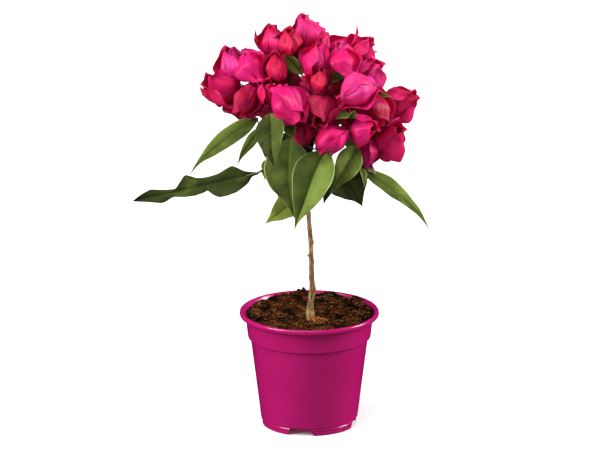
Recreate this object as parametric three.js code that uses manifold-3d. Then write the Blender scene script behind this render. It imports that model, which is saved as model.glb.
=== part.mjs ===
// A small bougainvillea trained as a standard: one bare stem with a round head of
// magenta bracts over a skirt of long hanging leaves, in a round nursery pot.
// Millimetres, +Z up. The origin is on the pot's axis at floor level, and the plant
// is seen from the front along +Y.
import * as THREE from "three";
import { mergeVertices } from "three/addons/utils/BufferGeometryUtils.js";
import Module from "manifold-3d";

const wasm = await Module();
wasm.setup();

const GAP = 0.3; // clear space between pieces that touch on the plant
const UP = new THREE.Vector3(0, 0, 1);
const rad = THREE.MathUtils.degToRad;

// The pot: a 13 cm injection-moulded nursery pot.
const POT = {
  rimRadius: 65,
  height: 109.5,
  lipHeight: 4.6,
  lipWidth: 3.4,
  collarTop: 59.3,
  collarFoot: 57.5,
  collarFootHeight: 84.6,
  bodyTop: 54.8,
  bodyFoot: 45.1,
  floorHeight: 7.3,
  footRadius: 43.7,
  wall: 1.5,
  padRadius: 9,
  feet: 4,
  footGap: 20.9,
  footRound: 2.6,
  firstGap: -101, // degrees from +X
  drainRadius: 3.5,
  drainCircle: 30,
  drains: 8,
};
const SOIL = { top: 104.5, edgeFall: 1.4, edgeWidth: 8 };
const ROUND = 36; // sides of the pot

// The stem's centre line from the soil to the head, as [x, y, z, radius].
const STEM = [
  [1.4, -16, 102, 5.2],
  [0.4, -15.8, 108.5, 4.1],
  [0.4, -15.3, 115, 3.6],
  [1.2, -14.8, 123, 3.1],
  [3, -14.2, 133, 2.9],
  [2.2, -13.5, 147, 2.45],
  [1.8, -12.6, 167, 2.3],
  [0.6, -12, 190, 2.25],
  [-0.8, -11.4, 205, 2.2],
  [-2.6, -10.6, 228, 2.4],
  [-3.6, -10, 240, 2.9],
  [-4, -9.8, 252, 3],
  [-3.4, -9.2, 268, 2.5],
  [-2.2, -8.4, 285, 2],
  [-1.6, -8, 294, 1.5],
];

const STEM_STEPS = 22;
const STEM_SIDES = 10;

// Radii of the woody limbs. A bough is its own piece for `share` of the way to its
// spray, and leans out to `outBy` of the way while it climbs `upBy`.
const BOUGH = { foot: 1.45, tip: 1.05, share: 0.56, outBy: 0.55, upBy: 0.42 };
const STALK = { tip: 0.9, steps: 3 };
const SHOOT = { foot: 1.3, tip: 0.9, steps: 6 };
const LIMB_SIDES = 5;
const TWIG = 0.85; // radius of a flower or leaf stalk
const CALYX = { radius: 2.4, depth: 1.8 }; // the stalk's swollen end, and how far it goes in

// A bract wraps at most `wrap` radians each way round the blossom's axis, `bell` from
// it, and one edge lies `lap` further out than the other, so the next one tucks under.
const BRACT = { length: 32, width: 31, thick: 0.6, root: 0.9, bell: 15.5, wrap: 1.25, lap: 0.2 };
const BRACT_OUTLINE = { peak: 0.85, fullness: 0.75 };
const FLARE = { least: -8, span: 10 };
const BRACTS = 3;
const DRAWN_IN = [1, 0.9, 0.8, 0.7, 0.6]; // sizes tried where a bract would touch a neighbour

const LEAF = { thick: 1.1, fold: 24, fullness: 1.1, waves: 2.75, rows: 3, lobedRows: 10 };

// Flower sprays. A spray's stalks part at `at`, and `fork` is the height on the stem
// where its bough leaves. The front sprays list the middle of each blossom and its size;
// the others stand round the bearing `face`, `lean` degrees off it, from `roll`.
const SPRAYS = [
  {
    name: "left",
    at: [-36, -17, 327],
    fork: 255,
    blossoms: [
      [-71, -8, 350, 1],
      [-53, -33, 355, 1.05],
      [-84, -12, 326, 1.1],
      [-59, -42, 325, 0.95],
    ],
  },
  {
    name: "upper_left",
    at: [-18, -14, 345],
    fork: 275,
    blossoms: [
      [-36, -14, 374, 0.9],
      [-19, -28, 373, 0.75],
      [-31, -40, 356, 0.9],
    ],
  },
  { name: "top", at: [-2, -10, 350], fork: 294, blossoms: [[-3, -10, 382, 1]] },
  {
    name: "front",
    at: [6, -25, 327],
    fork: 268.5,
    blossoms: [
      [6, -44, 364, 1.05],
      [11, -58, 345, 0.75],
      [13, -58, 321, 1.1],
    ],
  },
  {
    name: "upper_right",
    at: [30, -18, 343],
    fork: 276,
    blossoms: [
      [30, -24, 364, 0.85],
      [34, -46, 362, 0.95],
      [51, -12, 361, 0.95],
    ],
  },
  {
    name: "right",
    at: [28, -22, 328],
    fork: 263,
    blossoms: [
      [53, -36, 350, 1],
      [42, -58, 337, 1.2],
      [64, -30, 313, 1],
    ],
  },
  {
    name: "lower_right",
    at: [50, -12, 297],
    fork: 251,
    blossoms: [
      [81, -2, 309, 1.05],
      [73, -27, 280, 1.2],
      [55, -36, 273, 0.8],
    ],
  },
  {
    name: "front_left",
    at: [-12, -28, 318],
    fork: 262,
    blossoms: [
      [-17, -64, 327, 1.3],
      [-6, -46, 297, 0.85],
      [-38, -44, 334, 0.85],
    ],
  },
  {
    name: "front_right",
    at: [28, -26, 300],
    fork: 244,
    blossoms: [
      [20, -65, 294, 1],
      [49, -54, 302, 1.05],
    ],
  },
  {
    name: "back_top",
    at: [3, 8, 336],
    fork: 278,
    blossoms: [
      [-22, 13, 361, 0.95],
      [28, 13, 361, 0.95],
      [3, 32, 364, 0.95],
    ],
  },
  {
    name: "back_left",
    at: [-32, 16, 322],
    fork: 265,
    face: [150, 6],
    count: 3,
    lean: 40,
    roll: 90,
    reach: 34,
  },
  {
    name: "back_right",
    at: [31, 16, 320],
    fork: 268,
    face: [30, 6],
    count: 3,
    lean: 40,
    roll: 90,
    reach: 34,
  },
  {
    name: "back",
    at: [0, 28, 322],
    fork: 259,
    face: [90, 10],
    count: 4,
    lean: 42,
    roll: 0,
    reach: 35,
  },
  {
    name: "back_low",
    at: [-4, 20, 291],
    fork: 247,
    face: [90, -14],
    count: 2,
    lean: 44,
    roll: 0,
    reach: 34,
  },
  {
    name: "back_low_right",
    at: [34, 14, 290],
    fork: 245.5,
    face: [35, -12],
    count: 2,
    lean: 34,
    roll: 0,
    reach: 34,
  },
];

// Leafy shoots below the flowers. `fork` is the height where one leaves the stem, and
// `to` is its end. Each leaf runs from its root to its tip; `roll` turns its upper face
// about that line, `sag` bows it out, and `lobes` and `wave` ruffle it.
const SHOOTS = [
  {
    name: "left",
    fork: 238,
    to: [-44, -24, 292],
    leaves: [
      {
        root: [-53, -20, 244],
        tip: [-163, -36, 223.5],
        width: 23,
        peak: 0.55,
        roll: -62,
        lobes: 0.4,
        wave: 3,
      },
      { root: [-49.5, -30, 301], tip: [-109.5, -60, 260], width: 22, roll: -45, sag: 0.03 },
      { root: [-50, -16, 287], tip: [-67, -31, 260.5], width: 13, roll: -50, sag: 0.04 },
      { root: [-40, -15, 262], tip: [-43.5, -22, 242], width: 12, roll: 10, sag: 0.1 },
    ],
  },
  {
    name: "front",
    fork: 241,
    to: [-14, -46, 298],
    leaves: [
      { root: [-36, -56, 317], tip: [-31.5, -86, 272.5], width: 29, roll: -8, sag: 0.1 },
      { root: [-16, -44, 290], tip: [-12.5, -66, 222], width: 46, roll: 8, sag: 0.08 },
      { root: [12, -54, 280], tip: [-12.5, -84, 215], width: 38, roll: 4, sag: 0.08 },
      { root: [-5, -32, 243], tip: [-41, -46, 208], width: 27, roll: -20, sag: 0.06 },
      { root: [-19, -54, 305], tip: [-14, -65, 296], width: 13, roll: 0, sag: 0.08 },
    ],
  },
  {
    name: "right",
    fork: 236,
    to: [43, -30, 272],
    leaves: [
      { root: [44, -42, 281], tip: [20, -64, 244.5], width: 26, roll: 8, sag: 0.08 },
      { root: [30, -22, 257], tip: [50.5, -36, 222.5], width: 38, roll: 42, sag: 0.06 },
      { root: [53, -30, 251], tip: [107, -46, 204.5], width: 18, roll: 24, sag: 0.1 },
      { root: [47, -41, 261], tip: [51, -50, 245], width: 9, roll: 0, sag: 0.05 },
      { root: [12, -22, 262], tip: [17, -28, 221], width: 22, roll: 0, sag: 0.06 },
    ],
  },
  {
    name: "back_left",
    fork: 237,
    to: [-32, 28, 276],
    leaves: [
      { root: [-32, 34, 268], tip: [-36, 68, 221], width: 30, roll: 10, sag: 0.1 },
      { root: [-16, 38, 272], tip: [-14, 78, 219], width: 32, roll: -8, sag: 0.1 },
      { root: [-34, 18, 266], tip: [-46, 48, 246], width: 24, roll: 14, sag: 0.12 },
      { root: [-18, 14, 252], tip: [-28, 28, 206], width: 24, roll: 0, sag: 0.06 },
    ],
  },
  {
    name: "back_right",
    fork: 240,
    to: [34, 32, 276],
    leaves: [
      { root: [38, 34, 268], tip: [44, 66, 226], width: 28, roll: -10, sag: 0.1 },
      { root: [16, 40, 274], tip: [12, 80, 221], width: 32, roll: 8, sag: 0.1 },
      { root: [44, 16, 266], tip: [62, 40, 250], width: 22, roll: -12, sag: 0.1 },
      { root: [16, 14, 250], tip: [14, 30, 210], width: 22, roll: 0, sag: 0.06 },
    ],
  },
];

// A seeded stream of numbers from 0 to 1, the same on every run.
function stream(seed) {
  let state = (seed * 2654435761) >>> 0;
  return () => {
    state = (Math.imul(1664525, state) + 1013904223) >>> 0;
    return state / 4294967296;
  };
}

const vec = (a) => new THREE.Vector3(...a);

function bearing(azimuth, climb) {
  const a = rad(azimuth);
  const e = rad(climb);
  return new THREE.Vector3(Math.cos(a) * Math.cos(e), Math.sin(a) * Math.cos(e), Math.sin(e));
}

// Two unit vectors square to an axis: one level, one towards the sky.
function squareTo(axis) {
  const level = new THREE.Vector3().crossVectors(UP, axis).normalize();
  return [level, new THREE.Vector3().crossVectors(axis, level).normalize()];
}

function geometryOf(vertices, triangles) {
  const geometry = new THREE.BufferGeometry();
  const numbers = vertices.flatMap((v) => v.toArray());
  geometry.setAttribute("position", new THREE.Float32BufferAttribute(numbers, 3));
  geometry.setIndex(triangles.flat());
  return geometry;
}

function solidOf(geometry) {
  const bare = geometry.clone();
  bare.deleteAttribute("normal");
  bare.deleteAttribute("uv");
  const merged = mergeVertices(bare, 1e-4);
  return new wasm.Manifold(
    new wasm.Mesh({
      numProp: 3,
      vertProperties: new Float32Array(merged.attributes.position.array),
      triVerts: new Uint32Array(merged.index.array),
    }),
  );
}

function geometryFrom(solid) {
  const mesh = solid.getMesh();
  const geometry = new THREE.BufferGeometry();
  geometry.setAttribute("position", new THREE.BufferAttribute(mesh.vertProperties, 3));
  geometry.setIndex(new THREE.BufferAttribute(mesh.triVerts, 1));
  return geometry;
}

// A round limb that tapers along a curve, with a flat cut at each end.
function limb(curve, radiusAt, steps, sides) {
  const frames = curve.computeFrenetFrames(steps, false);
  const vertices = [];
  const triangles = [];
  for (let i = 0; i <= steps; i += 1) {
    const centre = curve.getPointAt(i / steps);
    for (let k = 0; k < sides; k += 1) {
      const turn = (2 * Math.PI * k) / sides;
      vertices.push(
        centre
          .clone()
          .addScaledVector(frames.normals[i], Math.cos(turn) * radiusAt(i / steps))
          .addScaledVector(frames.binormals[i], Math.sin(turn) * radiusAt(i / steps)),
      );
    }
  }
  for (let i = 0; i < steps; i += 1) {
    for (let k = 0; k < sides; k += 1) {
      const [a, b] = [i * sides + k, i * sides + ((k + 1) % sides)];
      triangles.push([a, b, b + sides], [a, b + sides, a + sides]);
    }
  }
  for (let k = 1; k < sides - 1; k += 1) {
    triangles.push([0, k + 1, k]);
    triangles.push([steps * sides, steps * sides + k, steps * sides + k + 1]);
  }
  return geometryOf(vertices, triangles);
}

function twig(points, fromRadius, toRadius, steps, sides) {
  const curve = new THREE.CatmullRomCurve3(points);
  return solidOf(limb(curve, (t) => fromRadius + (toRadius - fromRadius) * t, steps, sides));
}

// A thin blade over a surface point(t, s), t from root to tip and s from edge to edge,
// with one row of three points at each station between its two ends.
function blade(point, thick, rows) {
  const near = 0.02;
  const end = 0.08; // the surface has no clear normal closer than this to its ends
  const halfNormal = (t, s) => {
    const along = point(Math.min(t + near, 1), s).sub(point(Math.max(t - near, 0), s));
    const across = point(t, Math.min(s + near, 1)).sub(point(t, Math.max(s - near, -1)));
    return across.cross(along).normalize().multiplyScalar(thick / 2);
  };
  const spots = [[0, 0]];
  for (let r = 1; r <= rows; r += 1) {
    for (const s of [-1, 0, 1]) spots.push([r / (rows + 1), s]);
  }
  spots.push([1, 0]);
  const count = spots.length;
  const last = count - 1;
  const faces = [[0, 2, 1], [0, 3, 2], [last - 3, last - 2, last], [last - 2, last - 1, last]];
  for (let r = 1; r < rows; r += 1) {
    const low = r * 3 - 2;
    for (const k of [low, low + 1]) faces.push([k, k + 1, k + 4], [k, k + 4, k + 3]);
  }
  const rightEdge = Array.from({ length: rows }, (_, r) => 3 * r + 3);
  const leftEdge = Array.from({ length: rows }, (_, r) => 3 * (rows - r) - 2);
  const rim = [0, ...rightEdge, last, ...leftEdge];
  const vertices = [];
  for (const sign of [1, -1]) {
    for (const [t, s] of spots) {
      const offset = halfNormal(THREE.MathUtils.clamp(t, end, 1 - end), s);
      vertices.push(point(t, s).addScaledVector(offset, sign));
    }
  }
  const triangles = [...faces];
  for (const [a, b, c] of faces) triangles.push([a + count, c + count, b + count]);
  rim.forEach((a, i) => {
    const b = rim[(i + 1) % rim.length];
    triangles.push([a, a + count, b], [b, a + count, b + count]);
  });
  const solid = solidOf(geometryOf(vertices, triangles));
  if (solid.volume() > 0) return solid;
  return solidOf(geometryOf(vertices, triangles.map(([a, b, c]) => [a, c, b])));
}

// Half a leaf's width from root (t = 0) to tip (t = 1), as a share of its widest.
function outline(t, peak, fullness) {
  return Math.max(Math.sin(Math.PI * t ** peak), 0) ** fullness;
}

// One of the three bracts round a blossom's axis, as a surface. It swells into a bell
// over its first third, and its tip stands `flare` mm further out than the bell.
function bractSurface(base, axis, turn, flare, size) {
  const [level, rise] = squareTo(axis);
  const radial = level.multiplyScalar(Math.cos(turn)).addScaledVector(rise, Math.sin(turn));
  const across = new THREE.Vector3().crossVectors(axis, radial);
  return (t, s) => {
    const half = (BRACT.width / 2) * outline(t, BRACT_OUTLINE.peak, BRACT_OUTLINE.fullness);
    const out = BRACT.root + BRACT.bell * (1 - (1 - t) ** 2.6) + flare * t * t;
    const wrap = s * Math.min(half / out, BRACT.wrap);
    const reach = size * out * (1 + BRACT.lap * s);
    return base
      .clone()
      .addScaledVector(axis, size * BRACT.length * t)
      .addScaledVector(radial, reach * Math.cos(wrap))
      .addScaledVector(across, reach * Math.sin(wrap));
  };
}

// A leaf's surface, from its root to its tip, folded along its midrib. Its upper face
// looks out from the stem and a little up before `roll` turns it.
function leafSurface({ root, tip, width, peak = 0.7, roll = 0, sag = 0, lobes = 0, wave = 0 }) {
  const from = vec(root);
  const chord = vec(tip).sub(from);
  const along = chord.clone().normalize();
  const outward = new THREE.Vector3(from.x + chord.x / 2, from.y + chord.y / 2 + 10, 0).normalize();
  const face = outward.addScaledVector(UP, 0.7);
  face.addScaledVector(along, -face.dot(along)).normalize().applyAxisAngle(along, rad(roll));
  const across = new THREE.Vector3().crossVectors(along, face);
  const fold = rad(LEAF.fold);
  return (t, s) => {
    const swell = Math.cos(2 * Math.PI * LEAF.waves * (t - 0.2));
    const half = (width / 2) * outline(t, peak, LEAF.fullness) * (1 + lobes * swell);
    const bow = sag * chord.length() * 4 * t * (1 - t);
    const ruffle = wave * swell * s * s;
    return from
      .clone()
      .addScaledVector(chord, t)
      .addScaledVector(face, bow + half * Math.abs(s) * Math.sin(fold) + ruffle)
      .addScaledVector(across, half * s * Math.cos(fold));
  };
}

// The stem's centre at a height above the soil.
function stemAt(height) {
  const i = Math.max(1, STEM.findIndex((p) => p[2] >= height));
  const low = vec(STEM[i - 1]);
  const high = vec(STEM[i]);
  return low.lerp(high, Math.min(1, (height - low.z) / (high.z - low.z)));
}

// The stem from the table above, `extra` mm thicker all round.
function stemGeometry(extra) {
  const curve = new THREE.CatmullRomCurve3(STEM.map(vec));
  const radii = STEM.map((p) => p[3] + extra);
  const heights = STEM.map((p) => p[2]);
  const radiusAt = (u) => {
    const z = curve.getPointAt(u).z;
    const i = Math.max(1, heights.findIndex((h) => h >= z - 1e-6));
    const share = (z - heights[i - 1]) / (heights[i] - heights[i - 1]);
    return THREE.MathUtils.lerp(radii[i - 1], radii[i], THREE.MathUtils.clamp(share, 0, 1));
  };
  return limb(curve, radiusAt, STEM_STEPS, STEM_SIDES);
}

// The way from the stem to a spray: it leans out first and then turns up.
function boughCurve(fork, at) {
  const from = stemAt(fork);
  const to = vec(at);
  const bend = from.clone().lerp(to, BOUGH.outBy);
  bend.z = THREE.MathUtils.lerp(from.z, to.z, BOUGH.upBy);
  return new THREE.QuadraticBezierCurve3(from, bend, to);
}

function partOf(curve, start, end) {
  const steps = 6;
  const points = [];
  for (let i = 0; i <= steps; i += 1) {
    points.push(curve.getPointAt(start + ((end - start) * i) / steps));
  }
  return new THREE.CatmullRomCurve3(points);
}

// Fuses solids into one, fills any sealed pocket, and drops loose scraps.
function joined(solids) {
  const bodies = wasm.Manifold.union(solids).simplify(0.03).decompose();
  return bodies.reduce((best, body) => (body.volume() > best.volume() ? body : best));
}

// Blossoms and leaves keep clear of every piece that isn't their own.
const placed = [];
function isClear(solid, owner) {
  const box = solid.boundingBox();
  return placed.every(({ name, other, bounds }) => {
    if (name === owner) return true;
    for (let k = 0; k < 3; k += 1) {
      if (box.min[k] > bounds.max[k] + GAP || box.max[k] < bounds.min[k] - GAP) return true;
    }
    return solid.minGap(other, GAP * 2) >= GAP;
  });
}
function place(name, solid) {
  placed.push({ name, other: solid, bounds: solid.boundingBox() });
}

// The middle of each blossom of a spray, and its size.
function blossomsOf(spray) {
  if (spray.blossoms) {
    return spray.blossoms.map(([x, y, z, size]) => [new THREE.Vector3(x, y, z), size]);
  }
  const axis = bearing(...spray.face);
  const [level, rise] = squareTo(axis);
  const lean = rad(spray.lean);
  return Array.from({ length: spray.count }, (_, k) => {
    const ring = rad(spray.roll + (360 * k) / spray.count);
    const way = axis
      .clone()
      .multiplyScalar(Math.cos(lean))
      .addScaledVector(level, Math.cos(ring) * Math.sin(lean))
      .addScaledVector(rise, Math.sin(ring) * Math.sin(lean));
    return [vec(spray.at).addScaledVector(way, spray.reach), 1];
  });
}

// A blossom: three bracts round a calyx on its own stalk. A bract that would reach into
// a neighbouring spray is drawn closer and smaller, and is left out where none fits.
function blossom(spray, middle, size, random) {
  const from = vec(spray.at);
  const way = middle.clone().sub(from).normalize();
  const base = middle.clone().addScaledVector(way, (-BRACT.length * size) / 2);
  const flare = FLARE.least + FLARE.span * random();
  const turn = (360 / BRACTS) * random();
  const owner = "blossom_" + spray.name;
  const stalk = twig([from, base.clone().addScaledVector(way, CALYX.depth)], TWIG, CALYX.radius, 1, 5);
  if (!isClear(stalk, owner)) return null;
  const parts = [stalk];
  for (let i = 0; i < BRACTS; i += 1) {
    const angle = rad(turn + (360 * i) / BRACTS);
    for (const close of DRAWN_IN) {
      const bract = blade(bractSurface(base, way, angle, flare, size * close), BRACT.thick, 2);
      if (!isClear(bract, owner)) continue;
      parts.push(bract);
      break;
    }
  }
  return joined(parts);
}

// A leaf on a stalk from its shoot, or null where it would touch another piece.
function leaf(shape, from, owner) {
  const surface = leafSurface(shape);
  const stalk = twig([from, vec(shape.root), surface(0.12, 0)], TWIG, TWIG * 0.7, 2, 3);
  const rows = shape.lobes ? LEAF.lobedRows : LEAF.rows;
  const solid = joined([blade(surface, LEAF.thick, rows), stalk]);
  return isClear(solid, owner) ? solid : null;
}

// The place on a shoot nearest to a leaf's root, past the bare stretch by the stem.
function nearestOn(curve, point) {
  const steps = 20;
  const bare = 0.35;
  let best = curve.getPointAt(bare);
  for (let i = Math.ceil(bare * steps); i <= steps; i += 1) {
    const here = curve.getPointAt(i / steps);
    if (here.distanceTo(point) < best.distanceTo(point)) best = here;
  }
  return best;
}

function material(color, roughness) {
  return new THREE.MeshStandardMaterial({ color, roughness, metalness: 0 });
}
const MATERIALS = {
  plastic: material(0xb01c6c, 0.35),
  soil: material(0x3b2a1b, 0.95),
  bark: material(0x8a6a44, 0.8),
  leaf: material(0x4d6625, 0.5),
  bract: material(0xd61f78, 0.6),
};

const plant = new THREE.Group();
plant.name = "bougainvillea";

function add(name, solid, finish) {
  const mesh = new THREE.Mesh(geometryFrom(solid), finish);
  mesh.name = name;
  plant.add(mesh);
}

// A turned solid from a profile of [radius, height].
function turned(profile) {
  const points = profile.map(([r, z]) => new THREE.Vector2(r, z));
  return solidOf(new THREE.LatheGeometry(points, ROUND).rotateX(Math.PI / 2));
}

// The notch between two feet: upright sides, and corners that round out to the floor.
function footNotch() {
  const half = POT.footGap / 2;
  const round = POT.footRound;
  const shape = new THREE.Shape();
  shape.moveTo(-half - round, -1);
  shape.lineTo(half + round, -1);
  shape.lineTo(half + round, 0);
  shape.absarc(half + round, round, round, -Math.PI / 2, -Math.PI, true);
  shape.lineTo(half, POT.floorHeight);
  shape.lineTo(-half, POT.floorHeight);
  shape.lineTo(-half, round);
  shape.absarc(-half - round, round, round, 0, -Math.PI / 2, true);
  shape.closePath();
  const depth = 12;
  const geometry = new THREE.ExtrudeGeometry(shape, { depth, bevelEnabled: false, curveSegments: 4 });
  geometry.rotateX(Math.PI / 2).rotateZ(Math.PI / 2);
  return geometry.translate(POT.footRadius - depth * 0.67, 0, 0);
}

// The pot's shell, from the middle of its underside out, over the lip and back inside.
function pot() {
  const p = POT;
  const top = p.height;
  const lipFoot = top - p.lipHeight;
  const inner = p.rimRadius - p.lipWidth;
  const floorTop = p.floorHeight + p.wall;
  const profile = [
    [0, 0],
    [p.padRadius, 0],
    [p.padRadius + 1, p.floorHeight],
    [p.footRadius - p.wall, p.floorHeight],
    [p.footRadius - p.wall - 0.1, 0],
    [p.footRadius - 0.5, 0],
    [p.footRadius, 0.5],
    [p.footRadius + 0.3, p.floorHeight - 0.9],
    [p.bodyFoot, p.floorHeight + 0.2],
    [p.bodyTop, p.collarFootHeight - 0.8],
    [p.collarFoot - 0.3, p.collarFootHeight],
    [p.collarFoot, p.collarFootHeight + 0.6],
    [p.collarTop, lipFoot],
    [p.rimRadius - 0.8, lipFoot],
    [p.rimRadius, lipFoot + 0.8],
    [p.rimRadius, top - 1.1],
    [p.rimRadius - 0.9, top],
    [inner + 0.6, top],
    [inner, top - 0.8],
    [p.collarTop - p.wall, lipFoot - 1.5],
    [p.collarFoot - p.wall, p.collarFootHeight + 1],
    [p.bodyTop - p.wall, p.collarFootHeight - 1.5],
    [p.bodyFoot - p.wall, floorTop],
    [p.padRadius, floorTop],
    [p.padRadius - 1.2, p.wall],
    [0, p.wall],
  ];
  let solid = turned(profile);
  for (let i = 0; i < p.feet; i += 1) {
    const notch = footNotch().rotateZ(rad(p.firstGap + (360 * i) / p.feet));
    solid = solid.subtract(solidOf(notch));
  }
  for (let i = 0; i < p.drains; i += 1) {
    const a = rad(p.firstGap + (360 * (i + 0.5)) / p.drains);
    const drill = new THREE.CylinderGeometry(p.drainRadius, p.drainRadius, 6, 10).rotateX(Math.PI / 2);
    drill.translate(p.drainCircle * Math.cos(a), p.drainCircle * Math.sin(a), p.floorHeight + 0.7);
    solid = solid.subtract(solidOf(drill));
  }
  return solid;
}

// The soil fills the pot up to its collar, with its edge a little lower than its middle.
function soil() {
  const p = POT;
  const profile = [
    [0, p.floorHeight + p.wall + GAP],
    [p.bodyFoot - p.wall - GAP - 0.1, p.floorHeight + p.wall + GAP],
    [p.bodyTop - p.wall - GAP - 0.1, p.collarFootHeight - 1.5],
    [p.collarFoot - p.wall - GAP - 0.1, p.collarFootHeight + 1.9],
    [p.collarTop - p.wall - GAP - 0.4, SOIL.top - SOIL.edgeFall],
    [p.collarTop - SOIL.edgeWidth, SOIL.top],
    [0, SOIL.top],
  ];
  return turned(profile);
}

add("pot", pot(), MATERIALS.plastic);
add("soil", soil(), MATERIALS.soil);

// The stem is cut flat where it meets the soil. stemClear is the space that limbs keep to it.
const stem = solidOf(stemGeometry(0)).trimByPlane([0, 0, 1], SOIL.top + GAP);
const [tipX, tipY, tipZ, tipRadius] = STEM.at(-1);
const cap = new THREE.CylinderGeometry(tipRadius + GAP, tipRadius + GAP, 3 * GAP, STEM_SIDES);
cap.rotateX(Math.PI / 2).translate(tipX, tipY, tipZ);
const stemClear = joined([solidOf(stemGeometry(GAP)), solidOf(cap)]);
add("trunk", stem, MATERIALS.bark);
place("trunk", stem);

// Each spray's bough leaves the stem, and the spray's own stalk starts a gap past its tip.
const stalks = new Map();
for (const spray of SPRAYS) {
  const curve = boughCurve(spray.fork, spray.at);
  const boughRadius = (t) => THREE.MathUtils.lerp(BOUGH.foot, BOUGH.tip, t);
  const whole = solidOf(limb(partOf(curve, 0, BOUGH.share), boughRadius, 5, LIMB_SIDES));
  const bough = whole.subtract(stemClear);
  add("bough_" + spray.name, bough, MATERIALS.bark);
  place("bough_" + spray.name, bough);
  const start = BOUGH.share + (1.4 * GAP) / curve.getLength();
  const stalkRadius = (t) => THREE.MathUtils.lerp(BOUGH.tip, STALK.tip, t);
  const stalk = solidOf(limb(partOf(curve, start, 1), stalkRadius, STALK.steps, LIMB_SIDES));
  place("blossom_" + spray.name, stalk);
  stalks.set(spray, stalk);
}

const shootCurves = new Map();
for (const shoot of SHOOTS) {
  const curve = boughCurve(shoot.fork, shoot.to);
  const radiusAt = (t) => THREE.MathUtils.lerp(SHOOT.foot, SHOOT.tip, t);
  const stalk = solidOf(limb(curve, radiusAt, SHOOT.steps, LIMB_SIDES)).subtract(stemClear);
  place("leaves_" + shoot.name, stalk);
  stalks.set(shoot, stalk);
  shootCurves.set(shoot, curve);
}

for (const shoot of SHOOTS) {
  const owner = "leaves_" + shoot.name;
  const parts = [stalks.get(shoot)];
  for (const shape of shoot.leaves) {
    const from = nearestOn(shootCurves.get(shoot), vec(shape.root));
    parts.push(leaf(shape, from, owner));
  }
  const whole = joined(parts.filter(Boolean));
  add(owner, whole, MATERIALS.leaf);
  place(owner, whole);
}

SPRAYS.forEach((spray, index) => {
  const owner = "blossom_" + spray.name;
  const random = stream(index + 1);
  const parts = [stalks.get(spray)];
  for (const [middle, size] of blossomsOf(spray)) {
    parts.push(blossom(spray, middle, size, random));
  }
  const whole = joined(parts.filter(Boolean));
  add(owner, whole, MATERIALS.bract);
  place(owner, whole);
});

export default plant;
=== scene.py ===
import math

import bpy
import numpy as np
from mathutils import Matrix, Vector


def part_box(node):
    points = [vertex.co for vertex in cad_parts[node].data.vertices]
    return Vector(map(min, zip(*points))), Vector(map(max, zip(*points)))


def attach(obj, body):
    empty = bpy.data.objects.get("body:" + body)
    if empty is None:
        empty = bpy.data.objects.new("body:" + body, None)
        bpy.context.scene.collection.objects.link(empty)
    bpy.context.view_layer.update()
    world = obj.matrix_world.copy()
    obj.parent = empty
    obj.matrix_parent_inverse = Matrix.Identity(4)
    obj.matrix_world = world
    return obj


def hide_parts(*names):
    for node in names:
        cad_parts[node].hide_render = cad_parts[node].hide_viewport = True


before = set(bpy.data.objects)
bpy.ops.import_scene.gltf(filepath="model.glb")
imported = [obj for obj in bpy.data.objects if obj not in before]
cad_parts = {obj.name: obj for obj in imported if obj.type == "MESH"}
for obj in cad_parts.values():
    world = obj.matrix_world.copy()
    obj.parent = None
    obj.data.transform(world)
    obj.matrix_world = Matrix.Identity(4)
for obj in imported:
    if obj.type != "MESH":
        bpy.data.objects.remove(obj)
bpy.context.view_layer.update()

# A small bougainvillea trained as a standard, in its nursery pot. Sizes are in
# millimetres, and MM turns them into the frame's metres.


# The pot
# A 13 cm nursery pot, injection moulded in one shot from coloured polypropylene. A deep
# collar lets pots nest, the lip is rolled over, and the body stands on a notched foot ring.
MM = 0.001
RIM, _, POT_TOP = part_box("pot")[1] / MM
WALL = 1.5
LIP_FOOT = POT_TOP - 4.6
LIP_INNER = RIM - 3.4
COLLAR_TOP = RIM - 5.7
COLLAR_FOOT = RIM - 7.5
COLLAR_FOOT_Z = 84.6
BODY_TOP = RIM - 10.2
BODY_FOOT = RIM - 19.9
FOOT_RING = RIM - 21.3
FLOOR_Z = 7.3
GATE_PAD = 9
POT_SIDES = 176
FEET = 4
FOOT_GAP = 20.9
FOOT_CORNER = 4.2
FIRST_GAP = -101
DRAINS = 8
DRAIN_RADIUS = 3.5
DRAIN_CIRCLE = 30
DRAIN_SIDES = 24
SHARP_EDGE = 35


def linear(hex_colour):
    """An sRGB hex colour as the linear red, green, blue and alpha of a socket."""
    shares = [int(hex_colour[i:i + 2], 16) / 255 for i in (1, 3, 5)]
    return [c / 12.92 if c <= 0.04045 else ((c + 0.055) / 1.055) ** 2.4 for c in shares] + [1]


def tinted(colour, shares, lifts=(0, 0, 0)):
    """A linear colour with each channel times its share, or all times one, and then lifted."""
    channels = zip(colour, np.broadcast_to(shares, 3), lifts)
    return [min(c * share + lift, 1) for c, share, lift in channels] + [1]


def add_node(tree, kind, inputs=None, **settings):
    """Adds a shader node with its settings. Inputs are values or links, by socket name or
    number, and a node among them stands for its first output in use."""
    made = tree.nodes.new("ShaderNode" + kind)
    for name, value in settings.items():
        setattr(made, name, value)
    for socket, value in (inputs or {}).items():
        if isinstance(value, bpy.types.Node):
            value = next(output for output in value.outputs if output.enabled)
        if isinstance(value, bpy.types.NodeSocket):
            tree.links.new(value, made.inputs[socket])
        else:
            made.inputs[socket].default_value = value
    return made


def new_finish(name):
    """An empty material: its node tree, each point's place on the piece, and itself."""
    finish = bpy.data.materials.new(name)
    finish.use_nodes = True
    tree = finish.node_tree
    tree.nodes.clear()
    return tree, add_node(tree, "TexCoord").outputs["Object"], finish


def circle(sides):
    """Angles evenly round a circle."""
    return np.arange(sides) * 2 * math.pi / sides


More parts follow.
